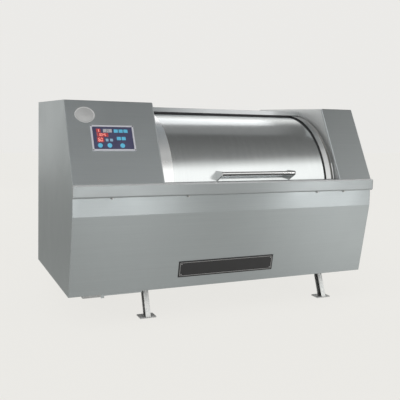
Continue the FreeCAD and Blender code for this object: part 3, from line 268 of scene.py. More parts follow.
def to_mesh(built, name, sharp=0.6):
    """Ends a piece's modelling: one skin, smooth apart from the folds that are sharper than that angle."""
    bmesh.ops.remove_doubles(built, verts=built.verts, dist=1e-6)
    bmesh.ops.recalc_face_normals(built, faces=built.faces)
    for face in built.faces:
        face.smooth = True
    for line in built.edges:
        line.smooth = len(line.link_faces) == 2 and line.calc_face_angle(0.0) < sharp
    mesh = bpy.data.meshes.new(name)
    built.to_mesh(mesh)
    built.free()
    return mesh


AXIS_Y, AXIS_Z = 0.025, 0.840


def on_arc(x, turn, radius):
    """A point round the drum's axis, turned up from the front by degrees."""
    angle = math.radians(turn)
    return (x, AXIS_Y - radius * math.cos(angle), AXIS_Z + radius * math.sin(angle))


def pierced_sheet(name, x_lines, turns, radius, thick, hole, left_open=()):
    """Rolled sheet with a round hole in each cell between the lines; some cells can be left open."""
    built = bmesh.new()
    columns, rows = len(x_lines) - 1, len(turns) - 1
    ring = abs(turns[-1] - turns[0] - 360.0) < 1e-6

    def is_sheet(i, j):
        j = j % rows if ring else j
        return 0 <= i < columns and 0 <= j < rows and (i, j) not in left_open

    for i in range(columns):
        for j in range(rows):
            if not is_sheet(i, j):
                continue
            (x0, x1), (t0, t1) = x_lines[i:i + 2], turns[j:j + 2]
            xm, tm = (x0 + x1) / 2, (t0 + t1) / 2
            rim = [(x0, t0), (xm, t0), (x1, t0), (x1, tm), (x1, t1), (xm, t1), (x0, t1), (x0, tm)]
            ways = [math.radians(225 + 45 * k) for k in range(8)]
            bore = [(xm + hole * math.cos(w), tm + math.degrees(hole / radius) * math.sin(w)) for w in ways]
            out_rim, out_bore, in_rim, in_bore = [
                [built.verts.new(on_arc(x, t, r)) for x, t in loop]
                for r in (radius, radius - thick) for loop in (rim, bore)]
            beside = {0: (i, j - 1), 1: (i + 1, j), 2: (i, j + 1), 3: (i - 1, j)}
            for k in range(8):
                n = (k + 1) % 8
                built.faces.new((out_rim[k], out_rim[n], out_bore[n], out_bore[k]))
                built.faces.new((in_rim[n], in_rim[k], in_bore[k], in_bore[n]))
                built.faces.new((out_bore[k], out_bore[n], in_bore[n], in_bore[k]))
                if not is_sheet(*beside[k // 2]):
                    built.faces.new((out_rim[n], out_rim[k], in_rim[k], in_rim[n]))
    return to_mesh(built, name)


def evenly(start, end, count):
    """Values from start to end with that many equal steps."""
    return [start + (end - start) * n / count for n in range(count + 1)]


DRUM_R, DRUM_WALL, DRUM_X, HOLE_R = 0.525, 0.003, (-0.492, 0.816), 0.007
HATCH_X, HATCH_TURNS = (-0.310, 0.634), (22.0, 68.0)
HATCH_COLUMNS, HATCH_ROWS, END_COLUMNS, OTHER_ROWS = 22, 10, 4, 65
hatch_x, hatch_turns = evenly(*HATCH_X, HATCH_COLUMNS), evenly(*HATCH_TURNS, HATCH_ROWS)
left_end, right_end = evenly(DRUM_X[0], HATCH_X[0], END_COLUMNS), evenly(HATCH_X[1], DRUM_X[1], END_COLUMNS)
x_lines = left_end[:-1] + hatch_x + right_end[1:]
turns = hatch_turns + evenly(HATCH_TURNS[1], HATCH_TURNS[0] + 360.0, OTHER_ROWS)[1:]
hatch = {(END_COLUMNS + i, j) for i in range(HATCH_COLUMNS) for j in range(HATCH_ROWS)}
shell_mesh = pierced_sheet("pierced_drum", x_lines, turns, DRUM_R, DRUM_WALL, HOLE_R, hatch)
shell = piece("pierced_drum", shell_mesh, drum_steel, "drum")
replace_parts(shell, "drum_shell")

LEAF_WALL, LEAF_OUT, LEAF_LAP, LEAF_LAP_TURN = 0.003, DRUM_R + 0.0034, 0.02, 2.0
leaf_lines = [HATCH_X[0] - LEAF_LAP] + hatch_x[1:-1] + [HATCH_X[1] + LEAF_LAP]
leaf_turns = [HATCH_TURNS[0] - LEAF_LAP_TURN] + hatch_turns[1:-1] + [HATCH_TURNS[1] + LEAF_LAP_TURN]
leaf_mesh = pierced_sheet("pierced_hatch", leaf_lines, leaf_turns, LEAF_OUT, LEAF_WALL, HOLE_R)
leaf = piece("pierced_hatch", leaf_mesh, drum_steel, "inner_door")
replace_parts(leaf, "inner_door")

GRIP_X, GRIP_TURNS, GRIP_RISE, GRIP_EASE = (0.102, 0.222), (22.873, 23.746), 0.016, 0.0025
built = bmesh.new()
corners = [built.verts.new(on_arc(x, turn, r)) for x in GRIP_X
           for r in (LEAF_OUT, LEAF_OUT + GRIP_RISE) for turn in GRIP_TURNS]
for loop in ((0, 1, 3, 2), (4, 6, 7, 5), (0, 4, 5, 1), (2, 3, 7, 6), (0, 2, 6, 4), (1, 5, 7, 3)):
    built.faces.new([corners[k] for k in loop])
bmesh.ops.bevel(built, geom=built.edges[:], offset=GRIP_EASE, segments=3, profile=0.5, affect="EDGES")
piece("hatch_grip", to_mesh(built, "hatch_grip"), drum_steel, "inner_door")

# Drive: iron pulleys joined by three rubber belts, a geared reducer and a foot-mounted motor with a fan.
# The motor and reducer are sprayed grey, and the fan is moulded plastic.
dress(casting("pulley_iron", (0.12, 0.12, 0.125), 0.5), "drum_pulley", "drive_pulley")
dress(casting("motor_paint", (0.1, 0.13, 0.15), 0.42), "motor", "gear_reducer")


def moulded(name, colour, roughness, grain=500.0, fade=0.3):
    """Moulded rubber or plastic with a fine skin, a little faded in patches."""
    made, tree, shader = finish(name, {"Metallic": 0.0})
    skin = add(tree, "Group", {"Scale": grain}, node_tree=cast_skin).outputs
    haze = add(tree, "Group", {"Scale": 7.0}, node_tree=smudges).outputs[0]
    coat = tinted(tree, skin["Shade"], shade(colour, 0.9), shade(colour, 1.1))
    coat = tinted(tree, ranged(tree, haze, 0.0, fade), coat, shade(colour, 1.4))
    tree.links.new(coat, shader["Base Color"])
    tree.links.new(ranged(tree, skin["Shade"], roughness - 0.06, roughness + 0.06), shader["Roughness"])
    relief(tree, shader, skin["Height"], 0.12, 0.0002)
    return made


black_rubber = moulded("black_rubber", (0.014, 0.014, 0.015), 0.62)
fan_plastic = moulded("fan_plastic", (0.04, 0.04, 0.045), 0.45)
dress(black_rubber, "drive_belts", "shaft_seals")
dress(fan_plastic, "motor_fan")

# Pipework: stainless drain neck, butterfly valve and outlet, and the two inlet pipes with their valves.
# The tube is pickled after welding, so it is dull and has no grain.
NO_WAY = (300.0, 300.0, 300.0)
pipe_steel = brushed("pipe_steel", (0.46, 0.47, 0.47), NO_WAY, roughness=0.4, metallic=0.9, mark=0.5)
dress(pipe_steel, "drain_pipework", "inlet_pipes")
dress(turned_steel, "drain_disc")

# Cabinets: folded satin stainless sheets with their hairlines along each sheet, and flat back sheets held
# by slotted pan-head screws. Bigger screws hold the ledge from below, and a narrow lip with a tab is
# folded under the front sheet at its left end.
ACROSS, UPRIGHT = (2.0, 900.0, 900.0), (900.0, 900.0, 2.0)
# The cabinet sheets are one satin stainless; these copies of it, like the ledge and hood finishes, are set
# lighter or darker panel by panel as painted light and shade.
satin_across = brushed("satin_across", (0.337, 0.364, 0.372), ACROSS, roughness=0.31, metallic=0.85,
                       drag=0.75)
fascia_satin = brushed("fascia_satin", (0.407, 0.438, 0.452), ACROSS, roughness=0.31, metallic=0.87)
slope_satin = brushed("slope_satin", (0.318, 0.34, 0.347), ACROSS, roughness=0.31, metallic=0.87)
satin_upright = brushed("satin_upright", (0.4, 0.436, 0.443), UPRIGHT, roughness=0.38, metallic=0.85)
top_steel = brushed("top_steel", (0.62, 0.64, 0.645), ACROSS, roughness=0.35, metallic=0.9, rim=1.0)
wall_steel = brushed("wall_steel", (0.65, 0.666, 0.67), UPRIGHT, roughness=0.46, metallic=0.8)
dress(satin_across, "rear_panels", "front_panel", "door_sill")
dress(fascia_satin, "left_fascia")
dress(slope_satin, "right_fascia")
dress(satin_upright, "left_side_panel", "right_side_panel")
dress(top_steel, "top_panels")
dress(wall_steel, "inner_walls")


def skinned(built, loops):
    """Four-sided faces from each loop of points to the next."""
    for lower, upper in zip(loops, loops[1:]):
        for k in range(len(lower)):
            n = (k + 1) % len(lower)
            built.faces.new((lower[k], lower[n], upper[n], upper[k]))


def closed(built, loops):
    """A skin over the loops, with a face on the first and on the last."""
    skinned(built, loops)
    built.faces.new(loops[0][::-1])
    built.faces.new(loops[-1])


def oval_outline(half_wide, half_high, count):
    """Points round an oval about the origin, anticlockwise."""
    ways = [math.tau * k / count for k in range(count)]
    return [(half_wide * math.cos(way), half_high * math.sin(way)) for way in ways]


def pan_head(built, seat, radius, height):
    """Slotted screw head on a seat matrix: a washer-like skirt and two halves of a crown beside the slot."""
    slot, shoulder, crown = 0.16 * radius, 0.97 * radius, 0.82 * radius
    skirt_top, shoulder_top = 0.45 * height, 0.7 * height
    skirt = oval_outline(radius, radius, 20)
    closed(built, [[built.verts.new(seat @ Vector((x, y, z))) for x, y in skirt] for z in (0.0, skirt_top)])
    first = math.asin(slot / radius)
    ways = evenly(first, math.pi - first, 10)
    for side in (1, -1):
        loops = [[(r * math.cos(w), side * max(r * math.sin(w), slot), z) for w in ways]
                 for r, z in ((radius, skirt_top), (shoulder, shoulder_top), (crown, height))]
        stack = [[built.verts.new(seat @ Vector(p)) for p in loop] for loop in loops]
        skinned(built, stack)
        built.faces.new(stack[-1])


def seat_at(spot, outward, turn=0.0):
    """A place whose own z axis points outward."""
    facing = Vector(outward).to_track_quat("Z", "Y").to_matrix().to_4x4()
    return Matrix.Translation(spot) @ facing @ Matrix.Rotation(turn, 4, "Z")


REAR_FACE, SCREW_R, SCREW_RISE = 0.632, 0.005, 0.004
SCREW_COLUMNS, SCREW_ROWS = (-1.12, -0.568, -0.508, 0.832, 0.892, 1.12), evenly(0.26, 1.442, 3)
LEDGE_LOW, LEDGE_SCREW_X, LEDGE_SCREW_Y = 0.880, (-0.898, -0.374, 0.659, 0.897), -0.622
LEDGE_SCREW_R, LEDGE_SCREW_RISE = 0.008, 0.009
built = bmesh.new()
for column, x in enumerate(SCREW_COLUMNS):
    for row, z in enumerate(SCREW_ROWS):
        slot_turn = 0.7 * column + 1.9 * row
        pan_head(built, seat_at((x, REAR_FACE, z), (0, 1, 0), slot_turn), SCREW_R, SCREW_RISE)
for x in LEDGE_SCREW_X:
    seat = seat_at((x, LEDGE_SCREW_Y, LEDGE_LOW), (0, 0, -1), 3.0 * x)
    pan_head(built, seat, LEDGE_SCREW_R, LEDGE_SCREW_RISE)
screw_mesh = to_mesh(built, "slotted_screws", 0.5)
screws = piece("slotted_screws", screw_mesh, turned_steel, "cabinet")
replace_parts(screws, "panel_screws")


def bar(built, ends, profile):
    """A bar along the machine with that profile, closed at both ends."""
    closed(built, [[built.verts.new((x, y, z)) for y, z in profile] for x in ends])


EDGE_Y, EDGE_Z, LIP_SHEET, LIP_BEND = -0.5168, 0.230, 0.002, 0.0012
LIP_X, LIP_DROP, LIP_REACH = (-0.915, -0.655), 0.0097, 0.045
TAB_X, TAB_DROP, TAB_REACH = (-0.936, -0.915), 0.024, 0.012
built = bmesh.new()
for ends, drop, reach in ((LIP_X, LIP_DROP, LIP_REACH), (TAB_X, TAB_DROP, TAB_REACH)):
    low = EDGE_Z - drop
    bar(built, ends, [(EDGE_Y, EDGE_Z), (EDGE_Y + 0.0008, low + LIP_BEND), (EDGE_Y + LIP_SHEET, low),
                      (EDGE_Y + reach, low), (EDGE_Y + reach, low + LIP_SHEET),
                      (EDGE_Y + 0.003, low + LIP_SHEET), (EDGE_Y + 0.0022, EDGE_Z)])
piece("tray_lip", to_mesh(built, "tray_lip"), satin_across, "cabinet")

# Bumper ledge: a rounded trough of satin sheet along the whole front, closed at both ends and screwed from
# below. Its upward faces carry a painted highlight, and a pressed cap with rounded corners is pushed on to
# its right end.


def fade_effect(name, measured):
    """A share that goes from 0 at Start to 1 at End, measured along a way on the piece."""
    inputs = [("Way", "Vector", (0.0, 0.0, 1.0)), ("Start", "Float", 0.0), ("End", "Float", 1.0)]
    tree, given, result = effect(name, inputs, [("Share", "Float")])
    spot = add(tree, "TexCoord").outputs[measured]
    reach = add(tree, "VectorMath", {0: spot, 1: given["Way"]}, operation="DOT_PRODUCT").outputs["Value"]
    tree.links.new(ranged(tree, reach, 0.0, 1.0, given["Start"], given["End"]), result["Share"])
    return tree


def fading(tree, kind, way, start, end):
    """The share of a fade effect in one finish."""
    return add(tree, "Group", {"Way": way, "Start": start, "End": end}, node_tree=kind).outputs["Share"]


def recolour(tree, share, colour):
    """Turns a finish's own colour to another where the share is 1."""
    tone = tree.nodes["Principled BSDF"].inputs["Base Color"]
    tree.links.new(tinted(tree, share, tone.links[0].from_socket, colour), tone)


facing_fade = fade_effect("facing_fade", "Normal")
UP = (0.0, 0.0, 1.0)
ledge_steel = brushed("ledge_steel", (0.322, 0.345, 0.352), ACROSS, roughness=0.32, metallic=0.6, drag=0.75)
tree = ledge_steel.node_tree
# Painted highlight: faces turned up are lightened.
recolour(tree, fading(tree, facing_fade, UP, 0.2, 0.8), (0.88, 0.9, 0.91, 1))
dress(ledge_steel, "apron_ledge")

LEDGE_FRONT, LEDGE_BACK, LEDGE_HIGH, LEDGE_ROUND = -0.636, -0.614, 0.965, 0.012
CAP_START, CAP_LENGTH, CAP_ROUND = 1.1502, 0.011, 0.009
built = bmesh.new()
loops = []
for inset, x in ((0.0, 0.0), (0.0, CAP_LENGTH - CAP_ROUND), (0.12, CAP_LENGTH - 0.5 * CAP_ROUND),
                 (0.45, CAP_LENGTH - 0.12 * CAP_ROUND), (1.0, CAP_LENGTH)):
    drawn_in = inset * CAP_ROUND
    near, low, high = LEDGE_FRONT + drawn_in, LEDGE_LOW + drawn_in, LEDGE_HIGH - drawn_in
    curve = LEDGE_ROUND - 0.6 * drawn_in
    bend = [(curve * (1 - math.cos(way)), curve * (1 - math.sin(way)))
            for way in evenly(0.0, math.pi / 2, 5)]
    outline = [(LEDGE_BACK, low)] + [(near + y, low + z) for y, z in bend[::-1]]
    outline += [(near + y, high - z) for y, z in bend] + [(LEDGE_BACK, high)]
    loops.append([built.verts.new((CAP_START + x, y, z)) for y, z in outline])
closed(built, loops)
piece("ledge_end_cap", to_mesh(built, "ledge_end_cap", 0.7), ledge_steel, "cabinet")

# Door: polished sheet that slides up round the tub under the lips of two rails, with nylon glides on its
# ends and rubber wipers along its edges. Rubber trim edges the right rail, and a dark rubber strip, which is
# painted shade, and a steel bead fill the gap beside it. The rails' colour carries painted shade and a
# painted highlight by height. The bar handle stands on two gusset plates and has painted shade on its
# underside and front, and on the right gusset.
bright_steel = brushed("bright_steel", (0.77, 0.805, 0.815), ROUND_AXIS, roughness=0.17, metallic=1.0,
                       mark=0.1, rim=1.0)
dress(bright_steel, "door_skin")

place_fade = fade_effect("place_fade", "Object")
RIGHT, BACK = (1.0, 0.0, 0.0), (0.0, 1.0, 0.0)
LEFT_RAIL_X, RIGHT_RAIL_X, RAIL_POLISH = -0.2, 0.4, 0.18
RAIL_FOOT, RAIL_DULL, RAIL_CREST, RAIL_RUBBED = (1.17, 1.09), (1.17, 1.32), (1.325, 1.365), (1.15, 1.06)
rail_steel = brushed("rail_steel", (0.9, 0.937, 0.95), ROUND_AXIS, roughness=0.38, metallic=0.95,
                     mark=0.1, rim=1.0)
tree = rail_steel.node_tree
on_right = fading(tree, place_fade, RIGHT, LEFT_RAIL_X, RIGHT_RAIL_X)
on_left = fading(tree, place_fade, RIGHT, RIGHT_RAIL_X, LEFT_RAIL_X)
# Painted shade and highlight by height: the right rail's foot is darkened, both rails darken towards the
# top, each to its own tone, and the left rail's crest is lightened as a painted highlight, where it is also
# glossier.
foot = product(tree, on_right, fading(tree, place_fade, UP, *RAIL_FOOT))
recolour(tree, foot, (0.66, 0.675, 0.68, 1))
dull = tinted(tree, on_right, (0.73, 0.79, 0.83, 1), (0.41, 0.425, 0.43, 1))
recolour(tree, fading(tree, place_fade, UP, *RAIL_DULL), dull)
crest = product(tree, on_left, fading(tree, place_fade, UP, *RAIL_CREST))
recolour(tree, crest, (0.95, 0.96, 0.97, 1))
rubbed = product(tree, on_left, fading(tree, place_fade, UP, *RAIL_RUBBED))
buffed = add(tree, "Math", {0: rubbed, 1: crest}, operation="ADD").outputs[0]
gloss = tree.nodes["Principled BSDF"].inputs["Roughness"]
polish = add(tree, "Mix", {0: buffed, 2: gloss.links[0].from_socket, 3: RAIL_POLISH}, data_type="FLOAT")
tree.links.new(polish.outputs[0], gloss)
dress(rail_steel, "door_rails")

handle_steel = brushed("handle_steel", (0.76, 0.77, 0.775), ACROSS, roughness=0.14, metallic=1.0, mark=0.1)
tree = handle_steel.node_tree
# Painted shade: the underside and front of the bar are darkened nearly to black.
underside = fading(tree, facing_fade, UP, 0.05, -0.2)
front_side = fading(tree, facing_fade, BACK, -0.1, -0.35)
recolour(tree, product(tree, underside, front_side), (0.1, 0.1, 0.1, 1))
dress(handle_steel, "handle_bar")
gusset_steel = brushed("gusset_steel", (0.54, 0.55, 0.55), NO_WAY, roughness=0.32, metallic=0.9)
tree = gusset_steel.node_tree
# Painted shade: the right gusset is darker than the left.
recolour(tree, fading(tree, place_fade, RIGHT, 0.0, 0.3), (0.34, 0.35, 0.35, 1))
dress(gusset_steel, "handle_brackets")

dress(black_rubber, "door_seals")
trim_rubber = moulded("trim_rubber", (0.006, 0.006, 0.008), 0.5)
gap_rubber = moulded("gap_rubber", (0.085, 0.084, 0.08), 0.5)
# Painted shade: the strip's dark colour stands for shade in the gap, and it lightens towards the top.
tree = gap_rubber.node_tree
recolour(tree, fading(tree, place_fade, UP, 1.15, 1.35), (0.32, 0.318, 0.31, 1))
STRIP_START, STRIP_END, BEAD_END, STRIP_STEPS, STRIP_EASE = 4.5, 85.5, 24.0, 54, 0.002
for name, (x0, x1), (low, high), end, material, slot in (
        ("rail_edge_trim", (0.7757, 0.7797), (0.5935, 0.5985), STRIP_END, trim_rubber, "black_rubber"),
        ("rail_gap_strip", (0.8232, 0.8432), (0.5725, 0.5935), STRIP_END, gap_rubber, "black_rubber"),
        ("rail_gap_bead", (0.8434, 0.8534), (0.5725, 0.5945), BEAD_END, rail_steel, "satin_steel")):
    shoulder = high - STRIP_EASE
    profile = [(x1, low), (x1, shoulder), (x1 - STRIP_EASE, high), (x0 + STRIP_EASE, high), (x0, shoulder),
               (x0, low)]
    built = bmesh.new()
    closed(built, [[built.verts.new(on_arc(x, turn, r)) for x, r in profile]
                   for turn in evenly(STRIP_START, end, STRIP_STEPS)])
    piece(name, to_mesh(built, name), material, "cabinet")
dress(moulded("glide_nylon", (0.74, 0.73, 0.69), 0.5), "door_glides")

# Hood: folded satin strip over the top of the door, fixed between the cabinets and darkened towards its left
# end as painted shade. A black rubber trim with rounded corners is pushed on to its lower edge.
hood_steel = brushed("hood_steel", (0.53, 0.55, 0.56), ACROSS, roughness=0.36, metallic=0.8)
tree = hood_steel.node_tree
# Painted shade: the strip darkens towards its left end.
recolour(tree, fading(tree, place_fade, RIGHT, 0.05, -0.55), (0.17, 0.183, 0.19, 1))
dress(hood_steel, "hood_cover")
HOOD_Y, TRIM_X, TRIM_LOW, TRIM_HIGH, TRIM_EASE = -0.014, (-0.5375, 0.788), 1.4247, 1.438, 0.003
TRIM_FRONT, TRIM_BACK = HOOD_Y - 0.010, HOOD_Y + 0.002
built = bmesh.new()
bar(built, TRIM_X, [(HOOD_Y - TRIM_EASE, TRIM_LOW), (TRIM_FRONT + 0.002, TRIM_LOW),
                    (TRIM_FRONT, TRIM_LOW + TRIM_EASE), (TRIM_FRONT, TRIM_HIGH - TRIM_EASE),
                    (TRIM_FRONT + TRIM_EASE, TRIM_HIGH), (TRIM_BACK, TRIM_HIGH),
                    (TRIM_BACK, TRIM_LOW + TRIM_EASE)])
piece("hood_trim", to_mesh(built, "hood_trim"), trim_rubber, "cabinet")

# Control panel on the left slope: an aluminium frame with four screws round a dark plastic face, with three
# red number windows, a grey display, two lamps and eight moulded keys that push in.
SLOPE_FOOT_Y, SLOPE_FOOT_Z, SLOPE_RUN, SLOPE_RISE = -0.614, 0.965, 0.46056, 0.88763
PANEL_X, PANEL_UP, FACE_TOP, WINDOW_TOP, LAMP_TOP, BEZEL_TOP = -0.987, 0.242, 0.003, 0.0045, 0.0046, 0.006
slope = Matrix(((1, 0, 0, PANEL_X),
                (0, SLOPE_RUN, -SLOPE_RISE, SLOPE_FOOT_Y + PANEL_UP * SLOPE_RUN),
                (0, SLOPE_RISE, SLOPE_RUN, SLOPE_FOOT_Z + PANEL_UP * SLOPE_RISE),
                (0, 0, 0, 1)))
dress(brushed("bezel_aluminium", (0.69, 0.7, 0.76), NO_WAY, roughness=0.38, metallic=0.6), "panel_bezel")
dress(moulded("face_navy", (0.055, 0.055, 0.115), 0.35), "control_face")


def rounded_outline(wide, high, corner):
    """Corner-rounded rectangle about the origin, anticlockwise."""
    points = []
    for sx, sy, start in ((1, 1, 0), (-1, 1, 90), (-1, -1, 180), (1, -1, 270)):
        for k in range(5):
            way = math.radians(start + 22.5 * k)
            points.append((sx * (wide / 2 - corner) + corner * math.cos(way),
                           sy * (high / 2 - corner) + corner * math.sin(way)))
    return points


def fanned(built, loop, middle):
    """Closes a loop of points with triangles to a point in its middle."""
    for k in range(len(loop)):
        built.faces.new((loop[k], loop[(k + 1) % len(loop)], middle))


def cap(built, place, outline, low, high, ease, dish=0.0):
    """A cap of that outline from low to high, eased over at the top edge and dished in the middle."""
    def loop(share, z):
        return [built.verts.new(place @ Vector((share * x, share * y, z))) for x, y in outline]

    reach = max(abs(x) for x, y in outline)
    stack = [loop(1.0, low), loop(1.0, high - ease), loop(1.0 - 0.3 * ease / reach, high - 0.3 * ease),
             loop(1.0 - ease / reach, high), loop(0.5, high - 0.7 * dish)]
    skinned(built, stack)
    fanned(built, stack[-1], built.verts.new(place @ Vector((0, 0, high - dish))))
    built.faces.new(stack[0][::-1])


def lens(name, colour, roughness, glow=0.0):
    """Clear-coated window plastic, faintly uneven, that may be lit from behind."""
    made, tree, shader = finish(name, {"Coat Weight": 0.6, "Coat Roughness": 0.05,
                                       "Emission Strength": glow})
    where = add(tree, "TexCoord").outputs["Object"]
    cloud = add(tree, "TexNoise", {"Vector": where, "Scale": 60.0, "Detail": 2.0}).outputs[0]
    body = tinted(tree, cloud, shade(colour, 0.85), shade(colour, 1.15))
    tree.links.new(body, shader["Base Color"])
    tree.links.new(body, shader["Emission Color"])
    tree.links.new(ranged(tree, cloud, roughness - 0.05, roughness + 0.05), shader["Roughness"])
    return made


window_red = lens("window_red", (0.42, 0.05, 0.06), 0.2)
window_grey = lens("window_grey", (0.42, 0.42, 0.46), 0.25)
figure_red = lens("figure_red", (0.95, 0.3, 0.25), 0.3, glow=0.8)
figure_dark = lens("figure_dark", (0.05, 0.05, 0.07), 0.3)
BARS = {"a": (0, 1, True), "b": (1, 0.5, False), "c": (1, -0.5, False), "d": (0, -1, True),
        "e": (-1, -0.5, False), "f": (-1, 0.5, False), "g": (0, 0, True)}
FIGURES = {"0": "abcdef", "2": "abged", "3": "abgcd", "4": "fgbc", "5": "afgcd", "6": "afgedc"}
FIGURE_SUNK, FIGURE_PROUD = 0.0002, 0.0003


def figure(built, numeral, x, s, tall):
    """One numeral of seven-bar figures, its bars just proud of the window."""
    half, long, thick = tall / 2, 0.42 * tall, 0.07 * tall
    tip, shoulder = 0.46 * long, 0.36 * long
    outline = [(tip, 0), (shoulder, thick), (-shoulder, thick), (-tip, 0), (-shoulder, -thick),
               (shoulder, -thick)]
    for bar_name in FIGURES[numeral]:
        across, up, level = BARS[bar_name]
        place = slope @ Matrix.Translation((x + across * 0.5 * long, s + up * half, 0))
        if not level:
            place = place @ Matrix.Rotation(math.pi / 2, 4, "Z")
        closed(built, [[built.verts.new(place @ Vector((px, py, z))) for px, py in outline]
                       for z in (WINDOW_TOP - FIGURE_SUNK, WINDOW_TOP + FIGURE_PROUD)])


WINDOW_CORNER, WINDOW_EASE, FIGURE_SHARE, FIGURE_PITCH = 0.003, 0.0005, 0.62, 0.68
shown = []
for name, spot, size, numerals, glass, ink in (
        ("step_window", (0.025, 0.119), (0.030, 0.027), "3", window_red, figure_red),
        ("level_display", (0.071, 0.120), (0.059, 0.025), "25", window_grey, figure_dark),
        ("time_window", (0.027, 0.089), (0.076, 0.027), "0045", window_red, figure_red),
        ("heat_window", (0.025, 0.050), (0.046, 0.036), "60", window_red, figure_red)):
    middle = (spot[0] + size[0] / 2, spot[1] + size[1] / 2)
    place = slope @ Matrix.Translation((*middle, 0))
    built = bmesh.new()
    cap(built, place, rounded_outline(*size, WINDOW_CORNER), FACE_TOP, WINDOW_TOP, WINDOW_EASE)
    shown.append(piece(name, to_mesh(built, name), glass, "cabinet"))
    built = bmesh.new()
    tall = FIGURE_SHARE * size[1]
    for k, numeral in enumerate(numerals):
        x = middle[0] + (k - (len(numerals) - 1) / 2) * FIGURE_PITCH * tall
        figure(built, numeral, x, middle[1], tall)
    piece(name + "_figures", to_mesh(built, name + "_figures"), ink, "cabinet")
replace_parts(shown[0], "display_windows")

LAMP_S, LAMP_HIGH, LAMP_CORNER, LAMP_EASE = 0.0655, 0.020, 0.005, 0.0008
lamp_pale = lens("lamp_pale", (0.26, 0.42, 0.57), 0.3)
built = bmesh.new()
for x, wide in ((0.091, 0.018), (0.1205, 0.020)):
    outline = rounded_outline(wide, LAMP_HIGH, LAMP_CORNER)
    cap(built, slope @ Matrix.Translation((x, LAMP_S, 0)), outline, FACE_TOP, LAMP_TOP, LAMP_EASE)
piece("panel_lamps", to_mesh(built, "panel_lamps"), lamp_pale, "cabinet")

KEY_LOW, KEY_TOP, KEY_EASE, KEY_DISH = 0.0002, 0.0052, 0.0012, 0.0004
ROUND_KEY_R, OBLONG_KEY, OBLONG_CORNER = 0.016, (0.028, 0.024), 0.004
key_plastic = moulded("key_cyan", (0.11, 0.46, 0.68), 0.38, grain=900.0, fade=0.15)
disc_outline = oval_outline(ROUND_KEY_R, ROUND_KEY_R, 28)
oblong_outline = rounded_outline(*OBLONG_KEY, OBLONG_CORNER)
for name, x, s, outline in (
        ("key_start", 0.042, 0.027, disc_outline), ("key_stop", 0.105, 0.027, disc_outline),
        ("key_reset", 0.191, 0.026, disc_outline), ("key_up", 0.157, 0.131, oblong_outline),
        ("key_set", 0.190, 0.131, oblong_outline), ("key_down", 0.223, 0.131, oblong_outline),
        ("key_hot", 0.171, 0.077, oblong_outline), ("key_cold", 0.204, 0.077, oblong_outline)):
    built = bmesh.new()
    cap(built, slope @ Matrix.Translation((x, s, 0)), outline, KEY_LOW, KEY_TOP, KEY_EASE, KEY_DISH)
    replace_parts(piece(name + "_cap", to_mesh(built, name + "_cap"), key_plastic, name), name)

BEZEL_SCREW_X, BEZEL_SCREW_S = (-0.0055, 0.2735), (-0.0055, 0.1665)
BEZEL_SCREW_R, BEZEL_SCREW_RISE = 0.0038, 0.0018
dark_screw = moulded("dark_screw", (0.05, 0.05, 0.055), 0.4)
built = bmesh.new()
for x in BEZEL_SCREW_X:
    for s in BEZEL_SCREW_S:
        slot_turn = Matrix.Rotation(30.0 * x + 9.0 * s, 4, "Z")
        seat = slope @ Matrix.Translation((x, s, BEZEL_TOP)) @ slot_turn
        pan_head(built, seat, BEZEL_SCREW_R, BEZEL_SCREW_RISE)
piece("bezel_screws", to_mesh(built, "bezel_screws", 0.5), dark_screw, "cabinet")

# Badge and plate: an oval pressed silver plate on the left slope, left blank, and the long black plate on
# the lower front, also bare, with a raised bright border line and a rivet at each corner.
BADGE, BADGE_HALF, BADGE_CROWN, BADGE_POINTS = (-0.0365, 0.2485), (0.0675, 0.0585), 0.0038, 48
badge_silver = brushed("badge_silver", (0.66, 0.67, 0.675), NO_WAY, roughness=0.3, metallic=0.7)
place = slope @ Matrix.Translation((*BADGE, 0))
oval = oval_outline(*BADGE_HALF, BADGE_POINTS)
steps = [(1.0, 0.0), (1.0, 0.002), (0.97, 0.004), (0.91, 0.004), (0.88, 0.0012), (0.84, 0.0012),
         (0.5, 0.003)]
built = bmesh.new()
rings = [[built.verts.new(place @ Vector((share * x, share * y, z))) for x, y in oval] for share, z in steps]
skinned(built, rings)
fanned(built, rings[-1], built.verts.new(place @ Vector((0, 0, BADGE_CROWN))))
built.faces.new(rings[0][::-1])
piece("blank_badge", to_mesh(built, "blank_badge", 0.5), badge_silver, "cabinet")

dress(moulded("plate_black", (0.012, 0.012, 0.013), 0.42), "nameplate")
APRON_Y, APRON_Z, APRON_RUN, APRON_RISE = -0.517, 0.230, -0.17937, 0.98378
PLATE_X, PLATE_S, PLATE_TOP = (-0.404, 0.338), (0.075, 0.191), 0.003
MARGIN, LINE, LINE_RISE, LINE_CORNER = 0.009, 0.003, 0.0006, 0.008
RIVET_R, RIVET_RISE, RIVET_EASE, RIVET_INSET = 0.004, 0.0018, 0.0014, 0.012
apron = Matrix(((1, 0, 0, 0), (0, APRON_RUN, -APRON_RISE, APRON_Y), (0, APRON_RISE, APRON_RUN, APRON_Z),
                (0, 0, 0, 1)))
middle = (sum(PLATE_X) / 2, sum(PLATE_S) / 2)
wide, high = PLATE_X[1] - PLATE_X[0] - 2 * MARGIN, PLATE_S[1] - PLATE_S[0] - 2 * MARGIN
place = apron @ Matrix.Translation((*middle, PLATE_TOP))
built = bmesh.new()
loops = []
for shrink, z in ((0, 0), (0, LINE_RISE), (LINE, LINE_RISE), (LINE, 0)):
    outline = rounded_outline(wide - 2 * shrink, high - 2 * shrink, LINE_CORNER - shrink)
    loops.append([built.verts.new(place @ Vector((x, y, z))) for x, y in outline])
skinned(built, loops + loops[:1])
border_silver = brushed("border_silver", (0.4, 0.4, 0.4), NO_WAY, roughness=0.35, metallic=0.7)
piece("plate_border", to_mesh(built, "plate_border"), border_silver, "cabinet")

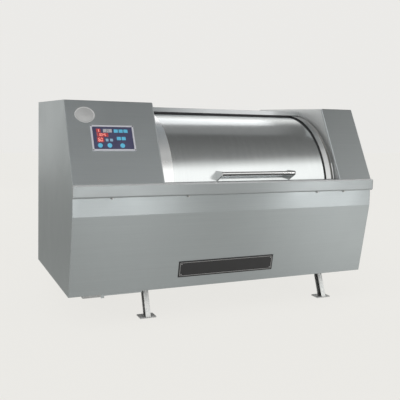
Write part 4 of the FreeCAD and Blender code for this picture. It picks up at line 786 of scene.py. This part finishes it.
rivet = oval_outline(RIVET_R, RIVET_R, 16)
built = bmesh.new()
for sx in (-1, 1):
    for sy in (-1, 1):
        spot = (sx * (wide / 2 - RIVET_INSET), sy * (high / 2 - RIVET_INSET), 0)
        cap(built, place @ Matrix.Translation(spot), rivet, 0.0, RIVET_RISE, RIVET_EASE)
piece("plate_rivets", to_mesh(built, "plate_rivets"), border_silver, "cabinet")

# Electrical box: a powder-coated steel box on the inside of the left side panel,
# with the gland for the power cable at the back sheet.
dress(moulded("box_paint", (0.52, 0.52, 0.49), 0.5, grain=700.0), "electrical_box")

# Floor and studio light: a pale floor, plain where it is seen straight on, which in reflections carries a
# painted pool of light at the front right and a painted dim patch further out in front; a sky that is bright
# low down and dark overhead, soft panels at the right, low in front, behind and over the door, and a soft
# high lamp.
FLOOR_WIDE, FLOOR_PALE, FLOOR_LEVEL, SEEN_SHARE, MIRRORED_SHARE = 40, (0.81, 0.8, 0.77, 1), 1.065, 0.9, 0.8
BRIGHT_POOL, DIM_PATCH = (2.4, -1.3, 0.0), (2.4, -5.0, 0.0)
bpy.ops.mesh.primitive_plane_add(size=FLOOR_WIDE, location=(0, 0, 0))
floor = bpy.context.object
floor.name = "floor"
pale, tree, shader = finish("pale_floor", {"Roughness": 0.9, "Metallic": 0.0})
where = add(tree, "TexCoord").outputs["Object"]
mottle = add(tree, "TexNoise", {"Vector": where, "Scale": 1.5, "Detail": 3.0}).outputs[0]
tree.links.new(tinted(tree, mottle, (0.79, 0.78, 0.75, 1), (0.84, 0.83, 0.8, 1)), shader["Base Color"])
path = add(tree, "LightPath").outputs
mirrored = product(tree, path["Is Glossy Ray"], MIRRORED_SHARE)
share = ranged(tree, path["Is Camera Ray"], mirrored, SEEN_SHARE)
# Painted light and shade: in reflections the floor brightens round the pool and dims round the patch.
from_pool = add(tree, "VectorMath", {0: where, 1: BRIGHT_POOL}, operation="DISTANCE").outputs["Value"]
from_patch = add(tree, "VectorMath", {0: where, 1: DIM_PATCH}, operation="DISTANCE").outputs["Value"]
near = ranged(tree, from_pool, 1.75, 1.0, 0.6, 1.9)
lit = product(tree, near, ranged(tree, from_pool, 1.0, 0.68, 3.0, 5.2))
lit = product(tree, lit, ranged(tree, from_patch, 0.5, 1.0, 0.7, 1.7))
level = ranged(tree, path["Is Camera Ray"], lit, FLOOR_LEVEL)
glow = add(tree, "Emission", {"Color": FLOOR_PALE, "Strength": level}).outputs[0]
plain = tree.nodes["Principled BSDF"].outputs[0]
mixed = add(tree, "MixShader", {0: share, 1: plain, 2: glow}).outputs[0]
tree.links.new(mixed, tree.nodes["Material Output"].inputs["Surface"])
floor.data.materials.append(pale)

SKY_STOPS = [(0.0, 0.83), (0.545, 0.84), (0.62, 0.5), (0.705, 0.17), (1.0, 0.11)]
studio = bpy.data.worlds.new("studio")
studio.use_nodes = True
tree = studio.node_tree
way = add(tree, "SeparateXYZ", {0: add(tree, "TexCoord").outputs["Generated"]}).outputs
sky = add(tree, "ValToRGB", {0: way["Z"]})
ramp = sky.color_ramp.elements
while len(ramp) < len(SKY_STOPS):
    ramp.new(0.5)
for stop, (height, level) in zip(ramp, SKY_STOPS):
    stop.position = height
    stop.color = (level, 0.99 * level, 0.965 * level, 1)
backdrop = tree.nodes["Background"].inputs
tree.links.new(sky.outputs[0], backdrop["Color"])
front = product(tree, ranged(tree, way["X"], 1.0, 0.86, 0.45, 0.7),
                ranged(tree, way["Z"], 0.95, 1.5, 0.05, 0.3))
tree.links.new(ranged(tree, way["Y"], front, 1.0, -0.6, 0.0), backdrop["Strength"])
bpy.context.scene.world = studio


def lamp(name, kind, spot, aim, energy, **fields):
    """A light at a spot, turned to its aim and itself unseen."""
    light = bpy.data.lights.new(name, kind)
    light.energy = energy
    for field, value in fields.items():
        setattr(light, field, value)
    made = bpy.data.objects.new(name, light)
    made.location = spot
    made.rotation_euler = (Vector(aim) - Vector(spot)).to_track_quat("-Z", "Y").to_euler()
    made.visible_camera = False
    bpy.context.collection.objects.link(made)


for name, spot, aim, energy, wide, high in (
        ("side_softbox", (4.16, -5.5, 0.7), (0.6, -0.4, 0.8), 27.0, 1.1, 1.3),
        ("rear_softbox", (2.35, 3.33, 5.49), (2.72, -0.2, 1.4), 16.6, 2.8, 1.98),
        ("rear_fill", (2.0, 1.47, 6.54), (2.0, -0.2, 1.4), 3.5, 4.0, 2.4),
        ("low_panel", (0.68, -6.27, 0.45), (-0.7, -0.6, 0.8), 28.0, 1.9, 0.9),
        ("back_panel", (-2.5, 8.0, 1.7), (-1.1, 0.0, 1.3), 20.0, 3.0, 3.0)):
    lamp(name, "AREA", spot, aim, energy, shape="RECTANGLE", size=wide, size_y=high)
lamp("high_lamp", "SUN", (-2.0, -1.8, 4.2), (0, 0, 0), 0.7, angle=math.radians(50.0))
bpy.context.scene.view_settings.view_transform = "Standard"

# Camera: it stands at the front left, just below the height of the machine's top, turned to the right and
# slightly down, and is rolled a little as the photograph is.
CAMERA_SPOT, CAMERA_YAW, CAMERA_DIP, CAMERA_ROLL = (-1.9627, -4.3376, 1.3766), -0.428, 0.079, 0.024
lens_data = bpy.data.cameras.new("photo_camera")
lens_data.lens = 54.83
lens_data.sensor_width = 36.0
lens_data.shift_x = -0.0097
lens_data.shift_y = -0.0765
camera = bpy.data.objects.new("photo_camera", lens_data)
bpy.context.collection.objects.link(camera)
yaw = Matrix.Rotation(CAMERA_YAW, 4, "Z")
dip = Matrix.Rotation(math.pi / 2 - CAMERA_DIP, 4, "X")
camera.matrix_world = Matrix.Translation(CAMERA_SPOT) @ yaw @ dip @ Matrix.Rotation(CAMERA_ROLL, 4, "Z")
bpy.context.scene.camera = camera
